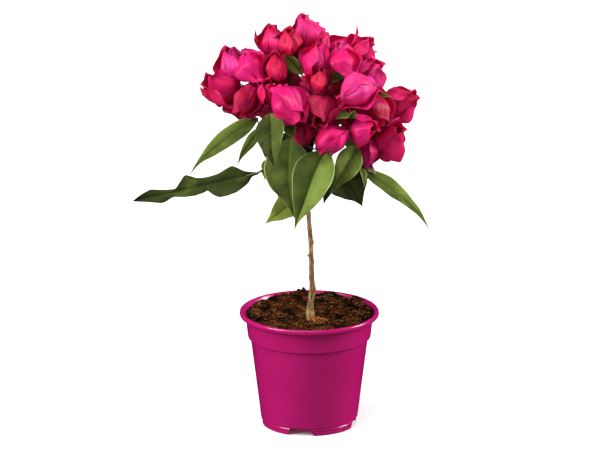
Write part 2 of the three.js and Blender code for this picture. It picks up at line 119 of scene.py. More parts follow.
def rounded(corners, steps=5):
    """A profile of (radius, height, rounding) with each corner turned into an arc."""
    points = []
    for i, (r, z, rounding) in enumerate(corners):
        here = np.array([r, z], float)
        if not rounding or i in (0, len(corners) - 1):
            points.append(here)
            continue
        back = np.array(corners[i - 1][:2], float) - here
        ahead = np.array(corners[i + 1][:2], float) - here
        room = min(np.linalg.norm(back), np.linalg.norm(ahead)) / 2
        start = here + back / np.linalg.norm(back) * min(rounding, room)
        end = here + ahead / np.linalg.norm(ahead) * min(rounding, room)
        for t in np.linspace(0, 1, steps):
            points.append(start * (1 - t) ** 2 + here * 2 * t * (1 - t) + end * t * t)
    return np.array(points)


def placed(name, data):
    """An object in the scene, made from its mesh, light or camera."""
    made = bpy.data.objects.new(name, data)
    bpy.context.scene.collection.objects.link(made)
    return made


def from_points(name, points, faces):
    """An object from points in millimetres and faces as point numbers."""
    mesh = bpy.data.meshes.new(name)
    mesh.from_pydata((np.asarray(points, float) * MM).tolist(), [], faces)
    return placed(name, mesh)


def lathe(name, profile, sides):
    """A solid turned about Z from a profile that starts and ends on the axis. As moulded,
    it is a hair out of round."""
    turns = circle(sides)
    radius, z = profile[1:-1, 0, None], profile[1:-1, 1, None]
    warp = 1 + 0.0016 * np.sin(3 * turns + 0.4) + 0.0009 * np.sin(8 * turns + z / 12)
    x, y = radius * warp * np.cos(turns), radius * warp * np.sin(turns)
    points = np.stack([x, y, np.repeat(z, sides, axis=1)], axis=-1).reshape(-1, 3)
    start, end = len(points), len(points) + 1
    points = np.vstack([points, [0, 0, profile[0, 1]], [0, 0, profile[-1, 1]]])
    last = (len(z) - 1) * sides
    faces = []
    for k in range(sides):
        ahead = (k + 1) % sides
        faces.append((start, ahead, k))
        faces.append((end, last + k, last + ahead))
        for low in range(0, last, sides):
            high = low + sides
            faces.append((low + k, low + ahead, high + ahead, high + k))
    return from_points(name, points, faces)


def prism(outline, low, high, place):
    """A throwaway cutter: a flat outline drawn out from low to high, each point put by place."""
    count = len(outline)
    points = [place(a, b, depth) for depth in (low, high) for a, b in outline]
    sides = [(i, (i + 1) % count, count + (i + 1) % count, count + i) for i in range(count)]
    ends = [tuple(range(count))[::-1], tuple(range(count, 2 * count))]
    return from_points("cutter", points, ends + sides)


def cut_away(piece, cutters):
    """Cuts each cutter out of the piece and removes it."""
    for cutter in cutters:
        modifier = piece.modifiers.new("cut", "BOOLEAN")
        modifier.operation = "DIFFERENCE"
        modifier.solver = "EXACT"
        modifier.object = cutter
    graph = bpy.context.evaluated_depsgraph_get()
    cut = bpy.data.meshes.new_from_object(piece.evaluated_get(graph))
    piece.modifiers.clear()
    piece.data = cut
    for cutter in cutters:
        bpy.data.objects.remove(cutter)


def belongs(piece, slot, *nodes):
    """The piece rides on the plant's one body, in place of CAD nodes, which are hidden. Its slot is
    not used.
    """
    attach(piece, "root")
    if nodes:
        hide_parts(*nodes)


def notch_outline():
    """The gap between two feet: square at the top, and rounded out where it meets the floor."""
    half = FOOT_GAP / 2
    right = [(half + FOOT_CORNER * (1 - math.sin(a)), FOOT_CORNER * (1 - math.cos(a)))
             for a in np.linspace(0, math.pi / 2, 6)]
    left = [(-x, z) for x, z in reversed(right)]
    top = [(half, FLOOR_Z), (-half, FLOOR_Z)]
    return [(half + FOOT_CORNER, -1)] + right + top + left + [(-half - FOOT_CORNER, -1)]


# The moulding's section, from the middle of its underside out, over the lip and back
# inside: radius, height and how much the corner is rounded.
POT_PROFILE = rounded([
    (0, 0, 0),
    (GATE_PAD, 0, 0.4),
    (GATE_PAD + 1, FLOOR_Z, 0.8),
    (FOOT_RING - WALL, FLOOR_Z, 0.5),
    (FOOT_RING - WALL - 0.1, 0, 0.4),
    (FOOT_RING - 0.1, 0, 0.7),
    (FOOT_RING + 0.2, FLOOR_Z - 2.2, 0.3),
    (FOOT_RING + 1.2, FLOOR_Z - 1.6, 0.4),
    (FOOT_RING + 0.6, FLOOR_Z - 0.6, 0.3),
    (BODY_FOOT, FLOOR_Z + 0.2, 0.8),
    (BODY_TOP, COLLAR_FOOT_Z - 0.8, 0.9),
    (COLLAR_FOOT - 0.3, COLLAR_FOOT_Z, 0.9),
    (COLLAR_FOOT, COLLAR_FOOT_Z + 2.2, 0.8),
    (COLLAR_TOP, LIP_FOOT, 0.9),
    (RIM - 0.5, LIP_FOOT - 0.1, 1.0),
    (RIM + 0.1, LIP_FOOT + 1.9, 1.2),
    (RIM - 0.4, POT_TOP - 0.3, 1.5),
    (RIM - 2.4, POT_TOP, 1.3),
    (LIP_INNER, POT_TOP - 0.7, 1.4),
    (COLLAR_TOP - WALL, LIP_FOOT - 1.5, 1.2),
    (COLLAR_FOOT - WALL, COLLAR_FOOT_Z + 1, 0.6),
    (BODY_TOP - WALL, COLLAR_FOOT_Z - 1.5, 0.6),
    (BODY_FOOT - WALL, FLOOR_Z + WALL, 0.8),
    (GATE_PAD, FLOOR_Z + WALL, 0.6),
    (GATE_PAD - 1.2, WALL, 0.4),
    (0, WALL, 0),
])
pot = lathe("pot_moulding", POT_PROFILE, POT_SIDES)
cutters = []
for i in range(FEET):
    a = math.radians(FIRST_GAP + 360 * i / FEET)
    out = np.array([math.cos(a), math.sin(a)])
    side = np.array([-out[1], out[0]])
    cutters.append(prism(notch_outline(), FOOT_RING - 8, FOOT_RING + 4,
                         lambda w, z, depth: (*(out * depth + side * w), z)))
hole = [(DRAIN_RADIUS * math.cos(a), DRAIN_RADIUS * math.sin(a)) for a in circle(DRAIN_SIDES)]
for i in range(DRAINS):
    a = math.radians(FIRST_GAP + 360 * (i + 0.5) / DRAINS)
    x, y = DRAIN_CIRCLE * math.cos(a), DRAIN_CIRCLE * math.sin(a)
    cutters.append(prism(hole, FLOOR_Z - 3, FLOOR_Z + 4, lambda u, v, depth: (x + u, y + v, depth)))
cut_away(pot, cutters)
pot.data.shade_smooth()
pot.data.set_sharp_from_angle(angle=math.radians(SHARP_EDGE))

# Polypropylene, moulded against a polished steel mould: an even, slightly cloudy magenta
# with a soft gloss that drags into long upright reflections. A pattern's scale, here and in
# the finishes below, is METRE over the size of its grain.
METRE = 1000
tree, place, POLYPROPYLENE = new_finish("polypropylene_moulded")
cloud = add_node(tree, "TexNoise", {"Vector": place, "Scale": METRE / 38, "Detail": 6})
tone = add_node(tree, "Mix", {
    0: cloud, 6: linear("#980c55"), 7: linear("#a6125f")}, data_type="RGBA")
peel = add_node(tree, "TexNoise", {"Vector": place, "Scale": METRE / 1.6, "Detail": 2})
skin = add_node(tree, "Bump", {"Height": peel, "Strength": 0.12, "Distance": 0.1 * MM})
gloss = add_node(tree, "MapRange", {0: cloud, 1: 0, 2: 1, 3: 0.18, 4: 0.26})
shader = add_node(tree, "BsdfPrincipled", {
    "Base Color": tone, "Roughness": gloss, "IOR": 1.49, "Specular IOR Level": 0.5,
    "Normal": skin})
add_node(tree, "OutputMaterial", {"Surface": shader})
pot.data.materials.append(POLYPROPYLENE)
belongs(pot, "pot", "pot")


# The potting soil
# Moist peat compost with coir: a settled bed, loose crumbs from dust to 4 mm and short
# brown fibres on top, filled to the lip and a little higher along the back.
SOIL_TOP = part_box("soil")[1].z / MM
SOIL_FLOOR = FLOOR_Z + WALL + 0.3
BED_RINGS = 60
BED_SIDES = 160
BED_RADIUS = COLLAR_TOP - WALL + 1.7
SWELL_HEIGHT = 3.4
LUMP_HEIGHT = 2.8
WASHED = 2.2
STEM_FOOT = (1.4, -16)
# Heaps that stand over the rim at the back: x, y, height and width.
HEAPS = ((-6, 50, 5.0, 7), (-20, 47, 2.6, 6), (44, 37, 3.6, 5), (52, 25, 2.0, 4))
# Down the inside of the pot under the bed: radius and height.
BED_WALL = (
    (COLLAR_TOP - WALL, LIP_FOOT - 2.5), (COLLAR_FOOT - WALL - 0.3, COLLAR_FOOT_Z + 2),
    (BODY_TOP - WALL - 0.4, COLLAR_FOOT_Z - 2), (BODY_FOOT - WALL - 0.3, SOIL_FLOOR))
CRUMBS = 8200
CRUMB_LEAST = 0.65
CRUMB_SPREAD = 2.9
FIBRES = 11000
FIBRE_LEAST = 2.5
FIBRE_SPREAD = 8
FIBRE_THICK = (0.26, 0.54)


class Bundle:
    """Many small shapes that become one mesh. Points are in millimetres."""

    def __init__(self):
        self.points, self.maps, self.faces, self.slots = [], [], [], []
        self.count = 0

    def add(self, points, faces, slots=0, flat=None):
        """Adds a shape: its points, groups of faces as rows of point numbers, one finish or
        a list with each group's own, and the points' flat layout."""
        if not isinstance(slots, list):
            slots = [slots] * len(faces)
        for rows, own in zip(faces, slots):
            self.faces.append(np.asarray(rows) + self.count)
            self.slots.append(np.broadcast_to(own, len(rows)))
        self.points.append(points)
        self.maps.append(np.zeros((len(points), 2)) if flat is None else flat)
        self.count += len(points)

    def piece(self, name, finishes):
        """The gathered shapes as one smooth-shaded mesh."""
        mesh = bpy.data.meshes.new(name)
        points = np.concatenate(self.points) * MM
        loops = np.concatenate([rows.ravel() for rows in self.faces])
        sizes = np.concatenate([np.full(len(rows), rows.shape[1]) for rows in self.faces])
        slots = np.concatenate(self.slots)
        layout = np.concatenate(self.maps)[loops]
        mesh.vertices.add(len(points))
        mesh.vertices.foreach_set("co", points.ravel().astype(np.float32))
        mesh.loops.add(len(loops))
        mesh.loops.foreach_set("vertex_index", loops.astype(np.int32))
        mesh.polygons.add(len(sizes))
        mesh.polygons.foreach_set("loop_start", (np.cumsum(sizes) - sizes).astype(np.int32))
        mesh.polygons.foreach_set("material_index", slots.astype(np.int32))
        flat = mesh.uv_layers.new(name="OFBake")
        flat.data.foreach_set("uv", layout.ravel().astype(np.float32))
        mesh.update(calc_edges=True)
        mesh.shade_smooth()
        for finish in finishes:
            mesh.materials.append(finish)
        return placed(name, mesh)


def unit(v):
    """A vector, or each of a row of vectors, at length 1."""
    v = np.asarray(v, float)
    return v / np.linalg.norm(v, axis=-1, keepdims=True)


def closed_rings(bundle, rings, start, end, slot=0, inside_out=False):
    """A closed skin over rings of points, with a point in the middle of each end. Inside out
    is for rings that are listed the other way round."""
    count, sides = rings.shape[:2]
    k = np.arange(sides)
    ahead = (k + 1) % sides
    row = np.arange(count - 1)[:, None] * sides
    low, high = (row + k).ravel(), (row + ahead).ravel()
    top = (count - 1) * sides
    faces = [
        np.stack([low, high, high + sides, low + sides], axis=1),
        np.stack([np.full(sides, count * sides), ahead, k], axis=1),
        np.stack([np.full(sides, count * sides + 1), top + k, top + ahead], axis=1),
    ]
    if inside_out:
        faces = [np.roll(rows[:, ::-1], 1, axis=1) for rows in faces]
    bundle.add(np.vstack([rings.reshape(-1, 3), start, end]), faces, slot)


def tube(bundle, path, radii, sides, slot=0):
    """A closed tube along a path. Radii has one number a ring, or one a point of each ring."""
    path = np.asarray(path, float)
    count = len(path)
    radii = np.broadcast_to(np.asarray(radii, float).reshape(count, -1), (count, sides))
    ahead = unit(np.gradient(path, axis=0))
    side = np.cross(ahead[0], [0, 0, 1] if abs(ahead[0][2]) < 0.9 else [1, 0, 0])
    across = []
    for way in ahead:
        side = unit(side - way * np.dot(side, way))
        across.append(side)
    across = np.array(across)
    third = np.cross(ahead, across)
    cosines, sines = np.cos(circle(sides))[:, None], np.sin(circle(sides))[:, None]
    outward = cosines * across[:, None] + sines * third[:, None]
    closed_rings(bundle, path[:, None] + radii[..., None] * outward, path[0], path[-1], slot)


def waves(rng, count, low, high):
    """A few random plane waves, as a function of points that gives -1 to 1."""
    ways = unit(rng.normal(size=(count, 3))) * rng.uniform(low, high, (count, 1))
    shifts = rng.uniform(0, 2 * math.pi, count)
    return lambda points: np.sin(points @ ways.T * 2 * math.pi + shifts).mean(axis=-1)


def bed_height(x, y):
    """The bed's level: lumpy, heaped towards the back wall and washed low round the stem."""
    points = np.stack([x, y, np.zeros_like(x)], axis=-1)
    radius = np.hypot(x, y)
    near_stem = np.exp(-((x - STEM_FOOT[0]) ** 2 + (y - STEM_FOOT[1]) ** 2) / 200)
    heap = 1.6 * np.clip(y / 50, -0.4, 1) + 0.8 * np.clip(x / 50, -0.5, 1)
    level = (SOIL_TOP + 1.6 + SWELL_HEIGHT * SWELLS(points) + LUMP_HEIGHT * LUMPS(points)
             - WASHED * near_stem)
    for heap_x, heap_y, height, width in HEAPS:
        level = level + height * np.exp(-((x - heap_x) ** 2 + (y - heap_y) ** 2) / width ** 2)
    fall = 0.4 * np.clip((radius - 52) / 7, 0, 1) ** 2
    return level + heap * np.clip(radius / 40, 0, 1) - fall


rng = np.random.default_rng(11)
SWELLS = waves(rng, 9, 1 / 34, 1 / 15)
LUMPS = waves(rng, 16, 1 / 8, 1 / 3.4)
turns = circle(BED_SIDES)
radii = np.linspace(0, 1, BED_RINGS)[1:, None] ** 0.8 * BED_RADIUS
x, y = radii * np.cos(turns), radii * np.sin(turns)
rings = [*np.stack([x, y, bed_height(x, y)], axis=-1)]
for radius, z in BED_WALL:
    ring = [radius * np.cos(turns), radius * np.sin(turns), np.full(BED_SIDES, z)]
    rings.append(np.stack(ring, axis=-1))
crown = bed_height(np.zeros(1), np.zeros(1))[0]
bed = Bundle()
closed_rings(bed, np.array(rings), [0, 0, crown], [0, 0, SOIL_FLOOR], inside_out=True)

# Peat, milled and moist: near-black brown, matt, with paler fibre showing through in
# grains of about a millimetre.
PEAT_TONES = ("#060301", "#100702", "#361206", "#48200b", "#272b0c", "#5e3a1a")
PEAT = []
for number, shade in enumerate(PEAT_TONES):
    tree, place, finish = new_finish(f"peat_crumb_{number}")
    grain = add_node(tree, "TexNoise", {"Vector": place, "Scale": METRE / 1.3, "Detail": 4})
    tone = add_node(tree, "Mix", {
        0: grain, 6: tinted(linear(shade), 0.3), 7: tinted(linear(shade), 1.5)}, data_type="RGBA")
    rough = add_node(tree, "Bump", {"Height": grain, "Strength": 0.8, "Distance": 0.5 * MM})
    shader = add_node(tree, "BsdfPrincipled", {
        "Base Color": tone, "Roughness": 0.95, "Specular IOR Level": 0.06, "Normal": rough})
    add_node(tree, "OutputMaterial", {"Surface": shader})
    PEAT.append(finish)
belongs(bed.piece("peat_bed", PEAT[1:2]), "soil", "soil")


def crumb_shape():
    """The points and faces of a 20-sided lump of radius 1."""
    golden = (1 + 5 ** 0.5) / 2
    corners = []
    for a, b in ((-1, golden), (1, golden), (-1, -golden), (1, -golden)):
        corners += [(a, b, 0), (0, a, b), (b, 0, a)]
    corners = unit(corners)
    gap = np.linalg.norm(corners[:, None] - corners[None], axis=-1)
    side = np.sort(gap[0])[1] * 1.01
    faces = []
    for i in range(12):
        for j in range(i + 1, 12):
            for m in range(j + 1, 12):
                if max(gap[i, j], gap[j, m], gap[i, m]) < side:
                    out = np.cross(corners[j] - corners[i], corners[m] - corners[i])
                    faces.append((i, j, m) if np.dot(out, corners[i]) > 0 else (i, m, j))
    return corners, np.array(faces)


LUMP_POINTS, LUMP_FACES = crumb_shape()


def scatter_spot(rng, reach):
    """A random place on the bed, as x, y and the bed's level there."""
    radius = reach * math.sqrt(rng.uniform())
    a = rng.uniform(0, 2 * math.pi)
    x, y = radius * math.cos(a), radius * math.sin(a)
    return np.array([x, y, bed_height(np.array([x]), np.array([y]))[0]])


def add_lump(bundle, rng, spot, size, slot):
    """A crumb: a lump pressed flat, stretched and dented at random."""
    stretch = [rng.uniform(0.8, 1.5), rng.uniform(0.7, 1.1), rng.uniform(0.45, 0.8)]
    turn = rng.uniform(0, 2 * math.pi)
    points = LUMP_POINTS * rng.uniform(0.72, 1.2, (12, 1)) * (np.array(stretch) * size / 2)
    c, s = math.cos(turn), math.sin(turn)
    bundle.add(points @ np.array([[c, s, 0], [-s, c, 0], [0, 0, 1]]) + spot, [LUMP_FACES], slot)


# How common each tone of crumb is, and how much more so where the bed is wet.
TONE_SHARE = np.array([0.26, 0.24, 0.19, 0.11, 0.15, 0.05])
WET_SHIFT = np.array([6, 3, -1.5, -4, 1, -6])
rng = np.random.default_rng(23)
PATCHES = waves(rng, 9, 1 / 30, 1 / 11)
crumbs = Bundle()
for _ in range(CRUMBS):
    spot = scatter_spot(rng, BED_RADIUS - 0.8)
    size = CRUMB_LEAST + CRUMB_SPREAD * rng.uniform() ** 3.2
    share = TONE_SHARE * np.exp(WET_SHIFT * PATCHES(spot))
    spot[2] += size * rng.uniform(0.0, 0.32)
    add_lump(crumbs, rng, spot, size, rng.choice(len(PEAT), p=share / share.sum()))
belongs(crumbs.piece("peat_crumbs", PEAT), "soil")

# Coir and fine root fibre: matt straw to rust-brown strands a few tenths of a
# millimetre thick, drawn a little thicker so that they show.
FIBRE_TONES = ("#68280e", "#3a1206", "#744418", "#a67a44")
FIBRE_SHARE = (0.34, 0.28, 0.26, 0.12)
# The share of the fibres that the crumbs hide, and how much more of them where it is wet.
HIDDEN = 0.67
HIDDEN_WHERE_WET = 0.8
COIR = []
for number, shade in enumerate(FIBRE_TONES):
    tree, place, finish = new_finish(f"coir_fibre_{number}")
    streak = add_node(tree, "TexNoise", {"Vector": place, "Scale": METRE / 2.4, "Detail": 2})
    tone = add_node(tree, "Mix", {
        0: streak, 6: tinted(linear(shade), 0.5), 7: linear(shade)}, data_type="RGBA")
    shader = add_node(tree, "BsdfPrincipled", {
        "Base Color": tone, "Roughness": 0.85, "Specular IOR Level": 0.08})
    add_node(tree, "OutputMaterial", {"Surface": shader})
    COIR.append(finish)


def add_fibre(bundle, rng, spot, length, thick, slot, lift=0.25):
    """A bent strand that lies on the bed, its ends a little up or down."""
    heading = rng.uniform(0, 2 * math.pi)
    bend = rng.normal(0, 2.2)
    steps = np.linspace(-0.5, 0.5, 5)
    angle = heading + bend * steps
    rise = 0.3 + lift * length * (0.25 - steps ** 2) * rng.uniform(-0.3, 1)
    path = np.stack([np.cos(angle) * steps * length, np.sin(angle) * steps * length, rise], axis=-1)
    tube(bundle, path + spot, thick / 2 * (1 - 0.6 * np.abs(steps) * 2), 3, slot)


fibres = Bundle()
for _ in range(FIBRES):
    length = FIBRE_LEAST + FIBRE_SPREAD * rng.uniform() ** 2
    spot = scatter_spot(rng, BED_RADIUS - 1 - length / 2)
    if rng.uniform() > HIDDEN + HIDDEN_WHERE_WET * PATCHES(spot):
        add_fibre(fibres, rng, spot + [0, 0, 0.5], length, rng.uniform(*FIBRE_THICK),
                  rng.choice(len(COIR), p=FIBRE_SHARE))
belongs(fibres.piece("coir_fibres", COIR), "soil")


# The trunk
# One woody stem, trained upright and kept bare to the head: it swells at the old pruning
# cuts, kinks above the soil and flares where it goes in. Grown in one piece.
STEM_RINGS = 460
STEM_SIDES = 44
GRAIN_STRETCH = 0.17
# How deep the bark's ridges and the stem's knobs are, as shares of its radius.
RIDGE_DEPTH = 0.10
KNOB_DEPTH = 0.09
FOOT_KNOB_DEPTH = 0.12
FLARE_TOP = 122
FLARE_DEPTH = 16
# Each row is x, y, height and radius on its centre line.
STEM = np.array([
    (1.2, -16, 101, 3.9),
    (1, -15.9, 106, 3.5),
    (0.7, -15.6, 111.5, 3.9),
    (0.8, -15.2, 119, 2.8),
    (1.6, -14.8, 125.5, 2.6),
    (2.7, -14.2, 133, 2.9),
    (2.2, -13.5, 147, 2.45),
    (1.8, -12.6, 167, 2.3),
    (0.6, -12, 190, 2.25),
    (-0.8, -11.4, 205, 2.2),
    (-2.6, -10.6, 228, 2.4),
    (-3.6, -10, 240, 2.9),
    (-4, -9.8, 252, 3),
    (-3.4, -9.2, 268, 2.5),
    (-2.2, -8.4, 285, 2),
    (-1.6, -8, 294, 1.5),
])
# Old leaf scars and cuts: height, bearing in degrees, how far they stand out, and width.
SCARS = (
    (166.6, 180, 1.9, 1.5), (179.6, 0, 0.8, 3), (160.5, 10, 0.6, 2), (133, -20, 0.9, 4),
    (146, 150, 0.5, 2.5), (193, 200, 0.5, 2.2), (207, -40, 0.6, 2.4), (218, 120, 0.7, 2.2),
    (113, 190, 0.5, 3), (110, -50, 0.8, 3), (119, 40, 0.4, 3), (232, -100, 0.7, 3),
)


def along_stem(heights):
    """Centre and radius of the stem at given heights, on a smooth curve through the rows."""
    rows = STEM[:, 2]
    slopes = np.gradient(STEM, rows, axis=0)
    i = np.clip(np.searchsorted(rows, heights) - 1, 0, len(rows) - 2)
    span = rows[i + 1] - rows[i]
    t = ((heights - rows[i]) / span)[:, None]
    a, b = STEM[i], STEM[i + 1]
    da, db = slopes[i] * span[:, None], slopes[i + 1] * span[:, None]
    found = (a * (2 * t ** 3 - 3 * t ** 2 + 1) + da * (t ** 3 - 2 * t ** 2 + t)
             + b * (3 * t ** 2 - 2 * t ** 3) + db * (t ** 3 - t ** 2))
    return found[:, :3], found[:, 3]


# Young bougainvillea bark: buff to grey-brown, finely ridged lengthways, with darker
# fissures, tan patches where the skin has rubbed off and an ochre stain here and there.
tree, place, BARK = new_finish("bark_grown")
long_way = add_node(tree, "Mapping", {"Vector": place, "Scale": (1, 1, 0.16)})
ridge = add_node(tree, "TexNoise", {
    "Vector": long_way, "Scale": METRE / 1.5, "Detail": 5, "Roughness": 0.62})
patch = add_node(tree, "TexNoise", {"Vector": place, "Scale": METRE / 9, "Detail": 3})
fissure = add_node(tree, "MapRange", {0: ridge, 1: 0.34, 2: 0.56})
rubbed = add_node(tree, "MapRange", {0: patch, 1: 0.44, 2: 0.6})
skin_tone = add_node(tree, "Mix", {
    0: rubbed, 6: linear("#765c3d"), 7: linear("#a8885c")}, data_type="RGBA")
ochre = add_node(tree, "TexNoise", {"Vector": place, "Scale": METRE / 21, "Detail": 2})
stained = add_node(tree, "MapRange", {0: ochre, 1: 0.5, 2: 0.64, 3: 0, 4: 0.6})
stained_tone = add_node(tree, "Mix", {
    0: stained, 6: skin_tone, 7: linear("#906233")}, data_type="RGBA")
bark_tone = add_node(tree, "Mix", {
    0: fissure, 6: linear("#3d2b19"), 7: stained_tone}, data_type="RGBA")
relief = add_node(tree, "Bump", {"Height": ridge, "Strength": 0.8, "Distance": 0.5 * MM})
shader = add_node(tree, "BsdfPrincipled", {
    "Base Color": bark_tone, "Roughness": 0.82, "Specular IOR Level": 0.15, "Normal": relief})
add_node(tree, "OutputMaterial", {"Surface": shader})

rng = np.random.default_rng(5)
ridges = waves(rng, 22, 1 / 2.6, 1 / 1.1)
knobs = waves(rng, 12, 1 / 14, 1 / 6)
heights = np.linspace(SOIL_TOP - 3, STEM[-1, 2], STEM_RINGS)
centres, radii = along_stem(heights)
turns = circle(STEM_SIDES)
round_points = np.stack([
    radii[:, None] * np.cos(turns), radii[:, None] * np.sin(turns),
    np.repeat(heights[:, None] * GRAIN_STRETCH, STEM_SIDES, axis=1)], axis=-1)
lumpy_points = round_points * [1, 1, 1 / GRAIN_STRETCH * 0.8]
foot = np.clip((FLARE_TOP - heights) / FLARE_DEPTH, 0, 1)[:, None]
knob_depth = KNOB_DEPTH + FOOT_KNOB_DEPTH * foot
relief = 1 + RIDGE_DEPTH * ridges(round_points) + knob_depth * knobs(lumpy_points)
stem_radii = radii[:, None] * relief + foot ** 3 * 0.5 * (0.5 + 0.5 * np.cos(5 * turns + 1.2))
for height, bearing, stands, width in SCARS:
    turn_gap = (turns - math.radians(bearing) + math.pi) % (2 * math.pi) - math.pi
    near = ((heights[:, None] - height) / width) ** 2 + (turn_gap * radii[:, None] / width) ** 2
    stem_radii = stem_radii + stands * np.exp(-near * 1.6)
rings = np.stack([
    centres[:, 0, None] + stem_radii * np.cos(turns),
    centres[:, 1, None] + stem_radii * np.sin(turns),
    np.repeat(centres[:, 2, None], STEM_SIDES, axis=1)], axis=-1)
trunk = Bundle()
closed_rings(trunk, rings, centres[0], centres[-1] + [0, 0, stem_radii[-1].mean() * 0.5])
belongs(trunk.piece("trunk_bark", [BARK]), "bark", "trunk")


# The root neck
# The plant's old root neck beside the stem: a knot of dead wood and matted root fibre
# that the watering has washed bare.
NECK_MIDDLE = np.array([7.6, -25.5, SOIL_TOP + 1.6])
NECK_SIZE = np.array([7.6, 7.4, 4.2])
NECK_LUMPS = 150
NECK_STRANDS = 190

# Weathered root wood: wet through, matt and stringy, rust-brown to a bright ochre.
tree, place, RUST_WOOD = new_finish("root_wood_weathered")
fibre = add_node(tree, "TexNoise", {"Vector": place, "Scale": METRE / 1.6, "Detail": 5})
strands = add_node(tree, "MapRange", {0: fibre, 1: 0.36, 2: 0.62})
tone = add_node(tree, "Mix", {
    0: strands, 6: linear("#4a1c08"), 7: linear("#e08a38")}, data_type="RGBA")
relief = add_node(tree, "Bump", {"Height": fibre, "Strength": 1.0, "Distance": 0.6 * MM})
shader = add_node(tree, "BsdfPrincipled", {
    "Base Color": tone, "Roughness": 0.85, "Normal": relief})
add_node(tree, "OutputMaterial", {"Surface": shader})

neck = Bundle()
for _ in range(NECK_LUMPS):
    way = unit(rng.normal(size=3)) * [1, 1, 0.8]
    spot = NECK_MIDDLE + way * NECK_SIZE * rng.uniform(0.3, 1) ** 0.7
    add_lump(neck, rng, spot, rng.uniform(0.9, 3), rng.choice(3, p=[0.55, 0.3, 0.15]))
for _ in range(NECK_STRANDS):
    way = unit(rng.normal(size=3))
    way[2] = abs(way[2]) * 0.7
    spot = NECK_MIDDLE + way * NECK_SIZE * rng.uniform(0.8, 1.25)
    add_fibre(neck, rng, spot, rng.uniform(2, 7), rng.uniform(0.3, 0.7), rng.integers(3), 0.5)
belongs(neck.piece("root_neck", [RUST_WOOD, COIR[0], COIR[2]]), "bark")


# The boughs
# Fifteen slim side shoots that ripened into wood. Each leaves the stem just under the
# head, leans out and turns up to its spray of blossom; its bark is the stem's, smoother.
BOUGH_FOOT = 1.45
BOUGH_TIP = 1.05
BOUGH_COLLAR = 0.9
BOUGH_SHARE = 0.58
BOUGH_RINGS = 90
BOUGH_SIDES = 14
KNUCKLE_DEPTH = 0.13

# A spray's stalks part at one place, and its bough leaves the stem at one height. Each
# listed blossom has its middle, size, tone and, where it shows, the way that it nods: the
# tip's turn as seen from the front, in degrees from the right, its share to the front and
# how far it has shut. Others stand in a ring: bearing, climb, count, lean, roll and reach.
ROSE, FUCHSIA, MAGENTA, CRIMSON, WINE = range(5)
# A deep tone on a listed blossom that sits in shadow, such as the crimson one at the front left, is
# partly painted shade.
SPRAYS = (
    ("left", (-36, -17, 327), 255, (
        (-72, -8, 351, 1.03, ROSE, (102, 0.2, 0.9)),
        (-51, -33, 353, 1.05, FUCHSIA, (303, 0.8, 1)),
        (-80.5, -12, 327.5, 1.28, MAGENTA, (138, 0.4, 0.7)),
        (-59, -42, 325, 0.95, WINE, (240, 0.4, 0.5))), None),
    ("upper_left", (-18, -14, 345), 275, (
        (-34.5, -14, 375, 0.92, MAGENTA, (94, 0.1, 1)),
        (-19, -28, 377, 0.87, CRIMSON, (84, 0.2, 0.4)),
        (-31, -40, 356, 0.9, CRIMSON, (75, 0.2, 0.1))), None),
    ("top", (-2, -10, 350), 294, ((-5, -10, 381.5, 1.03, ROSE, (90, 0.1, 1)),), None),
    ("front", (6, -25, 327), 268.5, (
        (6, -44, 364, 1.05, FUCHSIA, (72, 0.1, 1)),
        (9, -56, 349, 0.72, CRIMSON, (75, 0.2, 0.9)),
        (13, -58, 321, 1.1, WINE, (250, 1.6, 0.1))), None),
    ("upper_right", (30, -18, 343), 276, (
        (30, -24, 363, 0.85, ROSE, (95, 0.1, 0.9)),
        (34, -46, 361, 0.95, FUCHSIA, (290, 0.8, 0.9)),
        (47.5, -12, 366, 0.9, MAGENTA, (42, 0.2, 0.7))), None),
    ("right", (28, -22, 328), 263, (
        (56, -36, 349, 1.02, ROSE, (55, 0.4, 0.9)),
        (44, -58, 337, 1.2, FUCHSIA, (195, 0.5, 0.3)),
        (64, -30, 313, 1, CRIMSON, (300, 0.6, 0.6))), None),
    ("lower_right", (50, -12, 297), 251, (
        (82.5, -2, 311, 1.18, MAGENTA, (25, 0.2, 0.8)),
        (73.5, -27, 282.5, 1.32, MAGENTA, (60, 0.5, 0.8)),
        (55, -36, 273, 0.8, FUCHSIA, (270, 0.3, 0.8))), None),
    ("front_left", (-12, -28, 318), 262, (
        (-19, -64, 328, 1.32, FUCHSIA, (322, 0.9, 1)),
        (-6, -46, 297, 0.85, WINE, (270, 0.3, 0.4)),
        (-38, -44, 334, 0.85, CRIMSON, (90, 0.5, 0.3))), None),
    ("front_right", (28, -26, 300), 244, (
        (21, -65, 294, 1, FUCHSIA, (205, 0.4, 0.6)),
        (49, -54, 302, 1.05, FUCHSIA, (20, 0.9, 0.8))), None),
    ("back_top", (3, 8, 336), 278, (
        (-22, 13, 361, 0.95, MAGENTA, None),
        (28, 13, 358, 0.95, FUCHSIA, None),
        (3, 32, 364, 0.95, ROSE, None)), None),
    ("back_left", (-32, 16, 315), 265, None, (150, 6, 3, 40, 90, 34)),
    ("back_right", (28, 16, 317), 268, None, (30, 6, 3, 40, 90, 34)),
    ("back", (0, 28, 322), 259, None, (90, 10, 4, 42, 0, 35)),
    ("back_low", (-4, 20, 291), 247, None, (90, -14, 2, 44, 0, 34)),
    ("back_low_right", (34, 14, 290), 245.5, None, (35, -12, 2, 34, 0, 34)),
)


def bow(start, bend, end, steps):
    """Points on a simple curve that leaves start towards bend and comes from it into end."""
    t = np.linspace(0, 1, steps)[:, None]
    return start * (1 - t) ** 2 + bend * 2 * t * (1 - t) + end * t * t


def bough_path(fork, at, steps):
    """Points from the stem to a spray: the limb leans out first and then turns up."""
    start = np.array([np.interp(fork, STEM[:, 2], STEM[:, i]) for i in range(3)])
    end = np.array(at, float)
    bend = start + (end - start) * 0.55
    bend[2] = start[2] + (end[2] - start[2]) * 0.42
    return bow(start, bend, end, steps)


